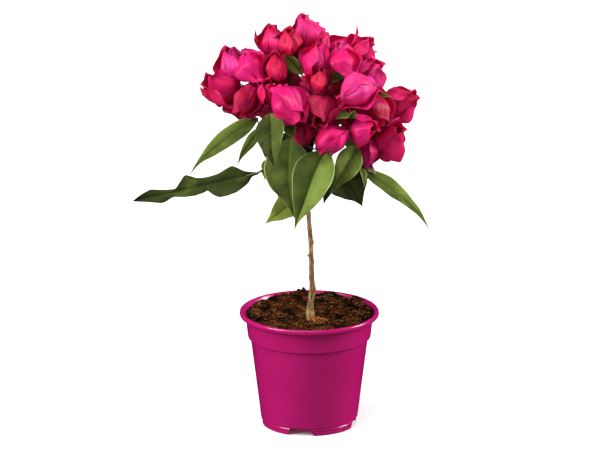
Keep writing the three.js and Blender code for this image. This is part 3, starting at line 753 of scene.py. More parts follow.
boughs = Bundle()
stalks = Bundle()
rng = np.random.default_rng(31)
knuckles = waves(rng, 14, 1 / 7, 1 / 2)
ripe = int(BOUGH_RINGS * BOUGH_SHARE)
share = np.linspace(0, 1, BOUGH_RINGS)
radii = BOUGH_FOOT + (BOUGH_TIP - BOUGH_FOOT) * share + BOUGH_COLLAR * np.exp(-share * 22)
turns = circle(BOUGH_SIDES)
around = np.stack(np.broadcast_arrays(
    np.cos(turns)[None] * 1.2, np.sin(turns)[None] * 1.2, share[:, None] * 40), axis=-1)
for _, at, fork, _, _ in SPRAYS:
    path = bough_path(fork, at, BOUGH_RINGS)
    bark_radii = radii[:, None] * (1 + KNUCKLE_DEPTH * knuckles(around + at))
    tube(boughs, path[:ripe], bark_radii[:ripe], BOUGH_SIDES)
    tube(stalks, path[ripe - 2:], radii[ripe - 2:] * 0.94, 10)
belongs(boughs.piece("bough_bark", [BARK]), "bark", *("bough_" + spray[0] for spray in SPRAYS))


# The leaves
# Long ovate blades that hang from five leafy shoots under the flowers: leathery and
# folded along a pale midrib, with side veins that arch to the tip and a thin pale rim.
LEAF_THICK = 0.45
LEAF_FOLD = 20
LEAF_WAVES = 2.75
LEAF_VEINS = 8
LEAF_ARCH = 0.2
LEAF_COLUMNS = 23
LEAF_ROWS = 52
LEAF_STALK = 0.9
LONG_LEAF_ROWS = 130
LONG_LEAF_STALK = 1.5
YOUNG_LEAF_GRID = (30, 17)
YOUNG_LEAF_STALK = 0.6
SHOOT_RINGS = 60
# No leaf springs from a shoot's first rings, next to the stem.
SHOOT_BARE_RINGS = 21
SHOOT_FOOT = 1.3
SHOOT_TAPER = 0.4

# Each shoot: its name, the height where it leaves the stem, its end and its leaves. Each
# leaf: root, tip, width, peak, roll, sag, bow to the upper edge, wave, and the tones of
# its two halves, partly the leaf's own colour and partly painted shade and light across
# the fold. The long wavy one has no width: its edges are given below.
DARK, FOREST, MID, FRESH, YELLOWED, DRY = range(6)
SHOOTS = (
    ("left", 238, (-44, -24, 292), (
        ((-47, -20, 249), (-163, -36, 226.3), None, 0, -50, 0, 0, 3, (DARK, DARK)),
        ((-47, -30, 305), (-110, -60, 263.5), 19.5, 0.7, -45, 0.03, 1.4, 0, (FRESH, FOREST)),
        ((-44.5, -16, 291), (-67, -31, 260.5), 12, 0.6, -50, 0.04, 0, 0, (FRESH, MID)),
        ((-33, -15, 264), (-41, -24, 243), 20, 0.8, 10, 0.1, 0, 0, (MID, DARK)))),
    ("front", 241, (-14, -46, 298), (
        ((-36, -56, 317), (-31.5, -86, 274), 29, 0.7, -8, 0.1, 0, 0, (DARK, FOREST)),
        ((-17.5, -39, 288.5), (-13.8, -60, 221), 48.5, 0.7, 8, 0.08, 0, 0, (FOREST, FOREST)),
        ((16, -58, 282), (-14, -88, 217.6), 40.5, 0.66, 4, 0.08, 0, 0, (FOREST, FRESH)),
        ((-8, -30, 228), (-41.5, -44, 208), 27, 0.62, -20, 0.06, -2, 0, (YELLOWED, YELLOWED)),
        ((-19, -54, 305), (-14, -65, 296), 13, 0.7, 0, 0.08, 0, 0, (FRESH, MID)))),
    ("right", 236, (43, -30, 272), (
        ((44, -42, 281), (20, -64, 244.5), 26, 0.7, 8, 0.08, 0, 0, (FOREST, MID)),
        ((24.5, -22, 255), (49.3, -36, 223.6), 46, 0.7, 42, 0.06, 0, 0, (DARK, DARK)),
        ((51, -30, 253), (112.4, -46, 203.6), 20.5, 0.55, 24, 0.05, -1, 0, (FOREST, FRESH)),
        ((47, -41, 261), (51, -50, 245), 9, 0.7, 0, 0.05, 0, 0, (FRESH, FRESH)),
        ((11, -22, 262), (13.7, -28, 222.5), 26, 0.85, 0, 0.06, 0, 0, (DARK, DARK)))),
    ("back_left", 237, (-32, 28, 276), (
        ((-29, 34, 268), (-33, 66, 221), 27, 0.7, 10, 0.1, 0, 0, (MID, FOREST)),
        ((-16, 38, 272), (-14, 78, 219), 32, 0.7, -8, 0.1, 1.5, 0, (FOREST, MID)),
        ((-32, 18, 266), (-40, 46, 247), 22, 0.7, 14, 0.12, 0, 0, (FRESH, MID)),
        ((-18, 14, 252), (-28, 28, 206), 24, 0.7, 0, 0.06, 0, 0, (DARK, FOREST)))),
    ("back_right", 240, (34, 32, 276), (
        ((38, 34, 268), (44, 66, 226), 28, 0.7, -10, 0.1, 0, 0, (FOREST, MID)),
        ((16, 40, 274), (12, 80, 221), 32, 0.7, 8, 0.1, -1.5, 0, (MID, FOREST)),
        ((44, 16, 266), (62, 40, 250), 22, 0.7, -12, 0.1, 0, 0, (MID, MID)),
        ((16, 14, 250), (14, 30, 210), 22, 0.7, 0, 0.06, 0, 0, (DARK, DARK)))),
)
# Young leaves between the blossoms: the spray that each grows from, root, tip, width, roll
# and the tones of its two halves, partly the leaf's own colour and partly painted shade and
# light. The last is a withered one, dried pale on its stalk.
CROWN_LEAVES = (
    ("top", (-22, -31, 364), (-5, -36, 347), 13, 0, (YELLOWED, MID)),
    ("top", (-2, -16, 344), (-10, -26, 352), 8, -20, (FOREST, FOREST)),
    ("front", (37, -60, 317), (24, -67, 315), 10, 20, (MID, MID)),
    ("front", (37, -60, 314), (42, -67, 324), 9, -30, (FOREST, MID)),
    ("upper_right", (18, -36, 341), (34, -48, 349), 14, 0, (FOREST, MID)),
    ("right", (56, -22, 318), (76, -26, 325), 13, 10, (MID, YELLOWED)),
    # This dark leaf in front of the stem's top stands for a mass in shadow: painted shade.
    ("front", (-3, -30, 290), (0, -34, 262), 12, 0, (DARK, DARK)),
    ("back_top", (14, 26, 344), (22, 40, 352), 12, 0, (MID, FRESH)),
    ("back_left", (-40, 26, 312), (-58, 36, 300), 14, 10, (MID, FOREST)),
    ("back_right", (40, 28, 310), (60, 36, 300), 14, -10, (FOREST, MID)),
    ("back", (2, 44, 312), (4, 66, 300), 14, 0, (MID, FRESH)),
    ("lower_right", (51, -32, 257), (62, -38, 253.5), 9, 20, (DRY, DRY)),
)
# The long leaf's edges: share of the way to its tip, and how far out, for each half.
UPPER_EDGE = (
    (0, 0.8), (0.02, 2.3), (0.11, 4.6), (0.15, 7.9), (0.19, 10.9), (0.3, 7.7), (0.4, 7.9),
    (0.48, 8), (0.565, 12.4), (0.6, 8.6), (0.657, 2.6), (0.74, 5), (0.847, 7.2), (0.96, 2.2),
    (1, 0))
LOWER_EDGE = (
    (0, 0.6), (0.06, 1.8), (0.09, 8.4), (0.15, 14.4), (0.21, 18.6), (0.28, 19), (0.35, 17),
    (0.4, 10.5), (0.416, 5.2), (0.45, 8.8), (0.53, 11.3), (0.6, 10), (0.69, 4.6), (0.78, 9),
    (0.88, 6.6), (0.96, 3.6), (1, 0))


def outline(t, peak, fullness):
    """Half a blade's width from root to tip, as a share of its widest."""
    return np.maximum(np.sin(math.pi * t ** peak), 0) ** fullness


def turned_about(v, axis, degrees):
    """v turned about a unit axis."""
    a = math.radians(degrees)
    return (v * math.cos(a) + np.cross(axis, v) * math.sin(a)
            + axis * np.dot(axis, v) * (1 - math.cos(a)))


def edge_line(t, edge):
    """How far out a listed edge runs at t, its corners a little rounded."""
    places, reaches = np.array(edge).T
    return sum(np.interp(t + shift, places, reaches) for shift in (-0.012, 0, 0.012)) / 3


def leaf_surface(rng, root, tip, width, peak, roll, sag, swing, wave):
    """A leaf as a function of t, root to tip, and s, edge to edge."""
    start = np.array(root, float)
    chord = np.array(tip, float) - start
    length = np.linalg.norm(chord)
    along = chord / length
    outward = unit([start[0] + chord[0] / 2, start[1] + chord[1] / 2 + 10, 0])
    face = outward + [0, 0, 0.7]
    face = turned_about(unit(face - along * np.dot(face, along)), along, roll)
    across = np.cross(along, face)
    fold = math.radians(LEAF_FOLD)
    shifts = rng.uniform(0, 2 * math.pi, 6)
    sway = rng.uniform(-0.03, 0.03) * length

    def surface(t, s):
        if width:
            tapered = 1 - 0.25 * np.clip((t - 0.72) / 0.28, 0, 1)
            half = width / 2 * outline(t, peak, 1.1) * tapered
            hook = -0.05 * length * np.clip((t - 0.8) / 0.2, 0, 1) ** 2
        else:
            half = np.where(s > 0, edge_line(t, UPPER_EDGE), edge_line(t, LOWER_EDGE))
            hook = np.zeros_like(t)
        half = np.maximum(half, 0.16)
        edge = np.abs(s)
        body = np.sin(math.pi * np.clip(t, 0, 1)) ** 0.5
        sagging = sag * length * 4 * t * (1 - t)
        ruffle = wave * np.cos(2 * math.pi * LEAF_WAVES * (t - 0.2)) * s * s
        ripple = (width or 16) * 0.022 * edge ** 2 * (
            np.sin(2 * math.pi * 2.3 * t + shifts[0] + np.sign(s) * shifts[1])
            + 0.6 * np.sin(2 * math.pi * 4.1 * t + shifts[2] + np.sign(s) * shifts[3]))
        beat = LEAF_VEINS * (t - LEAF_ARCH * edge ** 1.3)
        vein = (0.5 + 0.5 * np.cos(2 * math.pi * beat)) ** 3
        pucker = -0.34 * vein * np.clip(edge * 5, 0, 1) * (1 - edge ** 3) * body
        groove = -0.75 * np.exp(-(s * half / 0.9) ** 2) * body
        slope = half * edge * math.sin(fold) + 0.08 * half * np.sin(math.pi * edge)
        rise = sagging + slope + ruffle + ripple + pucker + groove
        drift = sway * np.sin(2 * math.pi * t) * 0.5 + swing * np.sin(math.pi * t)
        reach = half * s * math.cos(fold) + drift
        return (start + chord * t[..., None] + face * rise[..., None]
                + [0, 0, 1] * hook[..., None] + across * reach[..., None])

    return surface


def add_sheet(bundle, surface, rows, columns, thick, uppers, unders):
    """A thin closed blade over a surface, each half of its two faces in its own finish."""
    t, s = np.meshgrid(np.linspace(0, 1, rows), np.linspace(-1, 1, columns), indexing="ij")
    middle = surface(t, s)
    normal = unit(np.cross(np.gradient(middle, axis=0), np.gradient(middle, axis=1)) + 1e-12)
    half = normal * (thick / 2 * (1 - 0.55 * np.abs(s) ** 5))[..., None]
    count = rows * columns
    flat = np.stack([t, (s + 1) / 2], axis=-1).reshape(-1, 2)
    i, j = np.meshgrid(np.arange(rows - 1), np.arange(columns - 1), indexing="ij")
    corner = (i * columns + j).ravel()
    quads = np.stack([corner, corner + columns, corner + columns + 1, corner + 1], axis=1)
    rim = np.concatenate([
        np.arange(0, columns), columns * np.arange(2, rows + 1) - 1,
        np.arange(count - 2, count - columns - 1, -1), columns * np.arange(rows - 2, -1, -1)])
    ahead = np.roll(rim, -1)
    rim, ahead = rim[rim != ahead], ahead[rim != ahead]
    # The two halves may take different tones: on leaves partly painted shade and light across the
    # fold.
    second_half = (j.ravel() < (columns - 1) // 2).astype(int)
    bundle.add(
        np.concatenate([(middle + half).reshape(-1, 3), (middle - half).reshape(-1, 3)]),
        [quads, quads[:, ::-1] + count, np.stack([rim, ahead, ahead + count, rim + count], axis=1)],
        [np.array(uppers)[second_half], np.array(unders)[second_half], unders[0]],
        np.concatenate([flat, flat]))


def vein_pattern(tree, count, arch, shift, side, middle):
    """On a blade's flat layout: the layout, how far each point is from the midrib, and the
    veins, side ones and midrib. Side and middle are each where it starts to fade, where it
    has gone, and its strength."""
    flat = add_node(tree, "UVMap", uv_map="OFBake")
    split = add_node(tree, "SeparateXYZ", {0: flat})
    across = add_node(tree, "Math", {0: split.outputs[1], 1: 0.5}, operation="SUBTRACT")
    edge = add_node(tree, "Math", {0: across}, operation="ABSOLUTE")
    lag = add_node(tree, "Math", {0: edge, 1: -2 * arch, 2: split}, operation="MULTIPLY_ADD")
    beat = add_node(tree, "Math", {0: lag, 1: count, 2: shift}, operation="MULTIPLY_ADD")
    bounce = add_node(tree, "Math", {0: beat, 1: 0.5}, operation="PINGPONG")
    ribs = []
    for distance, (start, end, strength) in ((bounce, side), (edge, middle)):
        ribs.append(add_node(tree, "MapRange", {
            0: distance, 1: start, 2: end, 3: strength, 4: 0}, interpolation_type="SMOOTHSTEP"))
    veins = add_node(tree, "Math", {0: ribs[0], 1: ribs[1]}, operation="MAXIMUM")
    return flat, edge, veins


# Leaf blades: a waxy skin over leathery green, so a satin face with a darker cast away
# from the veins, a pale margin, and pale patches painted on as sheen. Underneath it is matt.
# Each row is a tone's blade, vein and margin, from the darkest green to yellowed and dry.
LEAF_TONES = (
    ("#1e2703", "#2f3810", "#2c3612"),
    ("#303b0c", "#4c5a1c", "#8a9856"),
    ("#404c16", "#5e6e26", "#97a562"),
    ("#506022", "#6a7c30", "#a3b070"),
    ("#565c1e", "#787c32", "#7e7832"),
    ("#9c9478", "#b4b093", "#b4b093"),
)
LEAF_SKINS = []
for side, matt in (("upper", False), ("under", True)):
    for number, (shade, vein_shade, margin) in enumerate(LEAF_TONES):
        tree, place, finish = new_finish(f"leaf_{side}_{number}")
        _, edge, veins = vein_pattern(
            tree, LEAF_VEINS, LEAF_ARCH, 0.4, (0.0, 0.09, 0.3), (0.012, 0.034, 0.7))
        rim = add_node(tree, "MapRange", {
            0: edge, 1: 0.468, 2: 0.484, 3: 0, 4: 0.85}, interpolation_type="SMOOTHSTEP")
        mottle = add_node(tree, "TexNoise", {"Vector": place, "Scale": METRE / 16, "Detail": 3})
        spread = add_node(tree, "MapRange", {0: mottle, 1: 0.35, 2: 0.65})
        base = linear(shade)
        if matt:
            base = tinted(base, 1.25, (0.013, 0.015, 0.009))
        cast = add_node(tree, "Mix", {
            0: spread, 6: tinted(base, 0.8), 7: tinted(base, 1.25)}, data_type="RGBA")
        # Pale patches where this noise runs high are painted sheen.
        sheen_noise = add_node(tree, "TexNoise", {"Vector": place, "Scale": METRE / 24, "Detail": 4})
        sheen_share = add_node(tree, "MapRange", {
            0: sheen_noise, 1: 0.46, 2: 0.76, 3: 0, 4: 0.4}, interpolation_type="SMOOTHSTEP")
        cast_with_painted_sheen = add_node(tree, "Mix", {
            0: sheen_share, 6: cast, 7: linear("#76833c")}, data_type="RGBA")
        veins_over_painted_light = add_node(tree, "Mix", {
            0: veins, 6: cast_with_painted_sheen, 7: linear(vein_shade)}, data_type="RGBA")
        tone = add_node(tree, "Mix", {0: rim, 6: veins_over_painted_light, 7: linear(margin)}, data_type="RGBA")
        pores = add_node(tree, "TexNoise", {"Vector": place, "Scale": METRE / 1.1, "Detail": 3})
        relief = add_node(tree, "Bump", {
            "Height": pores, "Strength": 0.25, "Distance": 0.15 * MM})
        shader = add_node(tree, "BsdfPrincipled", {
            "Base Color": tone, "Roughness": 0.6 if matt else 0.32,
            "Specular IOR Level": 0.04 if matt else 0.08, "Normal": relief})
        add_node(tree, "OutputMaterial", {"Surface": shader})
        LEAF_SKINS.append(finish)

blades = Bundle()
petioles = Bundle()
rng = np.random.default_rng(41)


def add_blade(surface, rows, columns, tones, start, thick):
    """A leaf's blade, matt underneath, and its stalk, which hangs a little between its shoot
    and the blade and runs into the midrib."""
    unders = [tone + len(LEAF_TONES) for tone in tones]
    add_sheet(blades, surface, rows, columns, LEAF_THICK, tones, unders)
    ends = surface(np.array([0.02, 0.1]), np.zeros(2))
    sink = np.array([0, 0, -0.12]) * np.linalg.norm(ends[0] - start)
    path = bow(start, start * 0.4 + ends[0] * 0.6 + sink, ends[0], 14)
    path = np.vstack([path, ends[1] - [0, 0, 0.1]])
    tube(petioles, path, np.linspace(thick, thick * 0.6, len(path)), 8)


for _, fork, to, leaves in SHOOTS:
    shoot = bough_path(fork, to, SHOOT_RINGS)
    tube(petioles, shoot, SHOOT_FOOT - SHOOT_TAPER * np.linspace(0, 1, SHOOT_RINGS), 10)
    for root, tip, width, *shape, tones in leaves:
        surface = leaf_surface(rng, root, tip, width, *shape)
        leafy = shoot[SHOOT_BARE_RINGS:]
        nearest = leafy[np.argmin(np.linalg.norm(leafy - np.array(root), axis=1))]
        rows, thick = (LEAF_ROWS, LEAF_STALK) if width else (LONG_LEAF_ROWS, LONG_LEAF_STALK)
        add_blade(surface, rows, LEAF_COLUMNS, tones, nearest, thick)
PARTINGS = {spray[0]: np.array(spray[1], float) for spray in SPRAYS}
for spray, root, tip, width, roll, tones in CROWN_LEAVES:
    surface = leaf_surface(rng, root, tip, width, 0.7, roll, 0.08, 0, 0)
    add_blade(surface, *YOUNG_LEAF_GRID, tones, PARTINGS[spray], YOUNG_LEAF_STALK)
belongs(blades.piece("leaf_blades", LEAF_SKINS), "leaf", *("leaves_" + row[0] for row in SHOOTS))

# Green shoot skin: soft, slightly downy stalks, olive with a rusty cast in patches.
tree, place, GREEN_STALK = new_finish("stalk_green")
blush = add_node(tree, "TexNoise", {"Vector": place, "Scale": METRE / 7, "Detail": 3})
tone = add_node(tree, "Mix", {
    0: blush, 6: linear("#3e4a1e"), 7: linear("#6b5a2c")}, data_type="RGBA")
shader = add_node(tree, "BsdfPrincipled", {
    "Base Color": tone, "Roughness": 0.6, "Sheen Weight": 0.2})
add_node(tree, "OutputMaterial", {"Surface": shader})
belongs(petioles.piece("leaf_stalks", [GREEN_STALK]), "leaf")


# The blossoms
# Each is a lantern of three papery bracts round three slim flower tubes, on a stalk of
# its own. The bracts are fused to the stalk's swollen end, and grow with raised veins,
# a keel down the middle and a crinkled surface.
BRACTS = 3
BRACT_LENGTH = 34
BRACT_WIDTH = 34
BRACT_THICK = 0.3
BRACT_ROOT = 0.9
BRACT_BELL = 12.8
BRACT_FLAT = 1.6
BRACT_WRAP = 1.25
BRACT_LAP = 0.2
BRACT_VEINS = 5
BRACT_ARCH = 0.8
BRACT_GRID = (34, 21)
INNER_GRID = (16, 11)
FLARE_LEAST = -8
FLARE_SPAN = 10
SHUT = 0.85
TUBE_LENGTH = 15
# The share of bracts in their blossom's own tone. The rest are one tone off.
TONE_KEPT = 0.72
STALK_RADIUS = 0.62
SWOLLEN_END = [0.7, 0.9, 1.2, 1.5]
# Smaller blossoms inside the head: how many a spray has at most, how often a place is
# tried, how far out they stand, how large and how flared they are, and how far apart.
INNER = 3
INNER_TRIES = 40
INNER_REACH = (18, 30)
INNER_SIZES = (0.6, 0.8)
INNER_FLARES = (-9, -3)
INNER_APART = 17
# The head as a round form, which the smaller blossoms stay in.
CROWN_MIDDLE = np.array([0, -8, 325])
CROWN_REACH = np.array([71, 58, 48])


def stream(seed):
    """A seeded stream of numbers from 0 to 1."""
    state = (seed * 2654435761) % 2 ** 32
    while True:
        state = (1664525 * state + 1013904223) % 2 ** 32
        yield state / 2 ** 32


def square_to(axis):
    """Two unit vectors square to an axis: one level, one towards the sky."""
    level = unit(np.cross([0, 0, 1], axis))
    return level, unit(np.cross(axis, level))


def crease(x):
    """A sharp-edged wave from -1, along the crease, to 1."""
    return 2 * np.abs(np.sin(math.pi * x)) - 1


def bract_surface(rng, base, axis, turn, flare, size, shut):
    """One bract round a blossom's axis, as a function of t, root to tip, and s, edge to edge."""
    level, rise = square_to(axis)
    radial = level * math.cos(turn) + rise * math.sin(turn)
    across = np.cross(axis, radial)
    shifts = rng.uniform(0, 2, 14)
    crinkle = rng.uniform(0.35, 0.8)
    curl = rng.uniform(0.3, 2.4)
    lean = rng.uniform(-1, 1)
    agape = 3.2 + 0.62 * (flare + 8) + rng.uniform(-2.4, 1.6)
    close = agape + 0.86 * shut * (BRACT_ROOT + BRACT_BELL + flare - 2.4 - agape)
    broad = rng.uniform(0.96, 1.12)

    def surface(t, s):
        half = broad * BRACT_WIDTH / 2 * outline(t, 0.85, 0.56)
        half = half * (1 - 0.6 * np.clip((t - 0.68) / 0.32, 0, 1) ** 1.2)
        half = np.maximum(half, 0.12)
        edge = np.abs(s)
        out = BRACT_ROOT + BRACT_BELL * (1 - (1 - t) ** 2.6) + flare * t * t
        shoulder = np.clip((t - 0.42) / 0.5, 0, 1)
        out = np.maximum(out - close * shoulder * shoulder * (3 - 2 * shoulder), 1)
        hollow = np.maximum(out * BRACT_FLAT, 8.5)
        wrap = s * np.minimum(half / hollow, BRACT_WRAP)
        body = np.sin(math.pi * t) ** 0.6
        beat = BRACT_VEINS * (t - BRACT_ARCH * edge)
        rib = -crease(beat) * np.clip(edge * 4, 0, 1) * (1 - edge ** 2.5)
        keel = 1.3 * np.exp(-(s * half / 3.2) ** 2) + 0.3 * np.exp(-(s * half / 0.7) ** 2)
        fold = (
            1.1 * np.sin(math.pi * (2.2 * t + 1.6 * s + shifts[0]))
            + 0.8 * np.sin(math.pi * (1.4 * t - 2.1 * s + shifts[1]))
            - 0.5 * crease(1.7 * t + 1.5 * s + shifts[2])
            + 0.3 * np.sin(math.pi * (4.3 * t - 3.1 * s + shifts[3]))
            + 0.12 * np.sin(math.pi * (7.1 * t + 5.3 * s + shifts[4])))
        hem = np.clip((edge - 0.72) / 0.28, 0, 1) ** 2 * (
            0.3 + 0.7 * np.sin(math.pi * (2.3 * t + shifts[5] + np.sign(s) * shifts[6]))
            + 0.3 * np.sin(math.pi * (5.3 * t + shifts[7] + np.sign(s) * shifts[8])))
        beak = curl * np.clip((t - 0.84) / 0.16, 0, 1) ** 2
        puff = body * (0.28 * rib + keel + crinkle * (1 - 0.45 * edge ** 2) * fold + hem)
        middle = size * (out - hollow)
        reach = size * (hollow * (1 + BRACT_LAP * s) + puff + beak)
        ruffle = 0.5 * np.sin(math.pi * (4 * t + 2 * s + shifts[9])) * edge * body
        climb = size * (BRACT_LENGTH * t + ruffle)
        aside = size * lean * 1.6 * np.clip((t - 0.5) / 0.5, 0, 1) ** 2
        return (base + axis * climb[..., None] + radial * (middle + reach * np.cos(wrap))[..., None]
                + across * (reach * np.sin(wrap) + aside)[..., None])

    return surface


def ring_blossoms(at, ring):
    """The middles of a spray's blossoms that stand in a ring round its bearing."""
    face, climb, count, lean, roll, reach = ring
    a, e = math.radians(face), math.radians(climb)
    axis = np.array([math.cos(a) * math.cos(e), math.sin(a) * math.cos(e), math.sin(e)])
    level, rise = square_to(axis)
    tilt = math.radians(lean)
    found = []
    for k in range(count):
        turn = math.radians(roll + 360 * k / count)
        leant = level * math.cos(turn) + rise * math.sin(turn)
        way = axis * math.cos(tilt) + leant * math.sin(tilt)
        found.append((*(np.array(at) + way * reach), 1, k * 2 % 5, None))
    return found


tubes = Bundle()


def add_blossom(bracts, rng, at, middle, size, tone, nod, flare, turn, grid):
    """Three bracts, three flower tubes and the stalk of one blossom."""
    at = np.array(at, float)
    axis = unit(np.array(middle, float) - at)
    shut = SHUT
    if nod is not None:
        tip = math.radians(nod[0])
        axis = unit([math.cos(tip), -nod[1], math.sin(tip)])
        shut = nod[2]
    base = np.array(middle, float) - axis * BRACT_LENGTH * size / 2
    path = bow(at, base - axis * 0.2 * np.linalg.norm(base - at), base, 12)
    path = np.vstack([path, base + axis * 1.6 * size])
    tube(stalks, path, [STALK_RADIUS] * 9 + SWOLLEN_END, 8)
    level, rise = square_to(axis)
    for i in range(BRACTS):
        angle = turn + 2 * math.pi * i / BRACTS
        surface = bract_surface(rng, base, axis, angle, flare, size, shut)
        own = tone
        if rng.uniform() >= TONE_KEPT:
            own = min(max(tone + rng.choice([-1, 1]), ROSE), WINE)
        add_sheet(bracts, surface, *grid, BRACT_THICK, (own, own), (own, own))
        radial = level * math.cos(angle) + rise * math.sin(angle)
        u = np.linspace(0, 1, 9)
        bulge = size * (0.75 + 0.3 * np.sin(math.pi * u) ** 2 + 0.25 * u ** 6)
        u = u[:, None]
        spine = base + axis * (1 + size * TUBE_LENGTH * u) + radial * (1.5 + 2.2 * u ** 1.5)
        tube(tubes, spine, bulge, 10)


# Bracts: dry, papery and slightly translucent, with a faint satin and the light glowing
# through, in the tones that they pass through from fresh rose to deep wine. Veins and the
# edges are darker, and the pits of the crinkles are painted darker as shade.
BRACT_TONES = ("#d42672", "#d21562", "#c81356", "#c01142", "#aa0f3e")
BRACT_EDGE = "#86104a"
# On a bract's flat layout: the cells of its fine vein net, 2.6 by 3.1 mm, and its pleats,
# 8.5 by 2.3 mm. A pleat's place on the plant counts too, so that no two bracts are alike.
NET_CELLS = (13, 11, 1)
PLEATS = (4, 15, 1)
PLEATS_A_METRE = (60, 60, 60)
BRACT_SKINS = []
for number, shade in enumerate(BRACT_TONES):
    tree, place, finish = new_finish(f"bract_paper_{number}")
    flat, edge, ribs = vein_pattern(
        tree, BRACT_VEINS, BRACT_ARCH, 0, (0.0, 0.1, 0.55), (0.008, 0.03, 0.7))
    scaled = add_node(tree, "Mapping", {0: flat, "Scale": NET_CELLS})
    net = add_node(tree, "TexVoronoi", {
        "Vector": scaled, "Scale": 1}, feature="DISTANCE_TO_EDGE")
    fine_vein = add_node(tree, "MapRange", {
        0: net, 1: 0.0, 2: 0.12, 3: 0.36, 4: 0}, interpolation_type="SMOOTHSTEP")
    veins = add_node(tree, "Math", {0: ribs, 1: fine_vein}, operation="MAXIMUM")
    drawn_out = add_node(tree, "Mapping", {0: flat, "Scale": PLEATS})
    own_place = add_node(tree, "VectorMath", {
        0: place, 1: PLEATS_A_METRE, 2: drawn_out}, operation="MULTIPLY_ADD")
    pleats = add_node(tree, "TexNoise", {"Vector": own_place, "Scale": 1, "Detail": 4})
    # Where the pleats sink, the bract is painted darker: painted shade in the crinkles.
    painted_pit_shade = add_node(tree, "MapRange", {
        0: pleats, 1: 0.34, 2: 0.52, 3: 0.5, 4: 0}, interpolation_type="SMOOTHSTEP")
    veins_and_painted_pit_shade = add_node(tree, "Math", {0: veins, 1: painted_pit_shade}, operation="MAXIMUM")
    rim = add_node(tree, "MapRange", {
        0: edge, 1: 0.464, 2: 0.488, 3: 0, 4: 0.75}, interpolation_type="SMOOTHSTEP")
    cloud = add_node(tree, "TexNoise", {"Vector": place, "Scale": METRE / 12, "Detail": 2})
    spread = add_node(tree, "MapRange", {0: cloud, 1: 0.36, 2: 0.64})
    base = linear(shade)
    cast = add_node(tree, "Mix", {
        0: spread, 6: tinted(base, (0.95, 0.8, 0.7)),
        7: tinted(base, (1, 1.3, 1.4), (0, 0.004, 0.012))}, data_type="RGBA")
    veins_over_painted_light = add_node(tree, "Mix", {0: veins_and_painted_pit_shade, 6: cast, 7: tinted(base, 0.66)}, data_type="RGBA")
    tone = add_node(tree, "Mix", {0: rim, 6: veins_over_painted_light, 7: linear(BRACT_EDGE)}, data_type="RGBA")
    crinkled = add_node(tree, "Bump", {
        "Height": pleats, "Strength": 0.75, "Distance": 1.4 * MM})
    relief = add_node(tree, "Bump", {
        "Height": veins, "Strength": 0.4, "Distance": 0.25 * MM, "Normal": crinkled})
    shader = add_node(tree, "BsdfPrincipled", {
        "Base Color": tone, "Roughness": 0.42, "Specular IOR Level": 0.15,
        "Subsurface Weight": 0.3, "Subsurface Radius": (1, 0.14, 0.1),
        "Subsurface Scale": 1.6 * MM, "Normal": relief})
    add_node(tree, "OutputMaterial", {"Surface": shader})
    BRACT_SKINS.append(finish)

# Flower tubes: the true flowers, closed, a waxy rose with paler flushes.
tree, place, FLOWER_TUBE = new_finish("flower_tube_waxy")
flush = add_node(tree, "TexNoise", {"Vector": place, "Scale": METRE / 5, "Detail": 2})
tone = add_node(tree, "Mix", {
    0: flush, 6: linear("#a02c5c"), 7: linear("#b25563")}, data_type="RGBA")
shader = add_node(tree, "BsdfPrincipled", {"Base Color": tone, "Roughness": 0.5})
add_node(tree, "OutputMaterial", {"Surface": shader})

# Which sprays are joined into each piece of bracts.
BRACT_PIECES = {
    "bracts_left": ("left", "upper_left", "top"),
    "bracts_front": ("front", "front_left", "front_right"),
    "bracts_right": ("upper_right", "right", "lower_right"),
    "bracts_behind": ("back_top", "back_left", "back_right"),
    "bracts_back": ("back", "back_low", "back_low_right"),
}
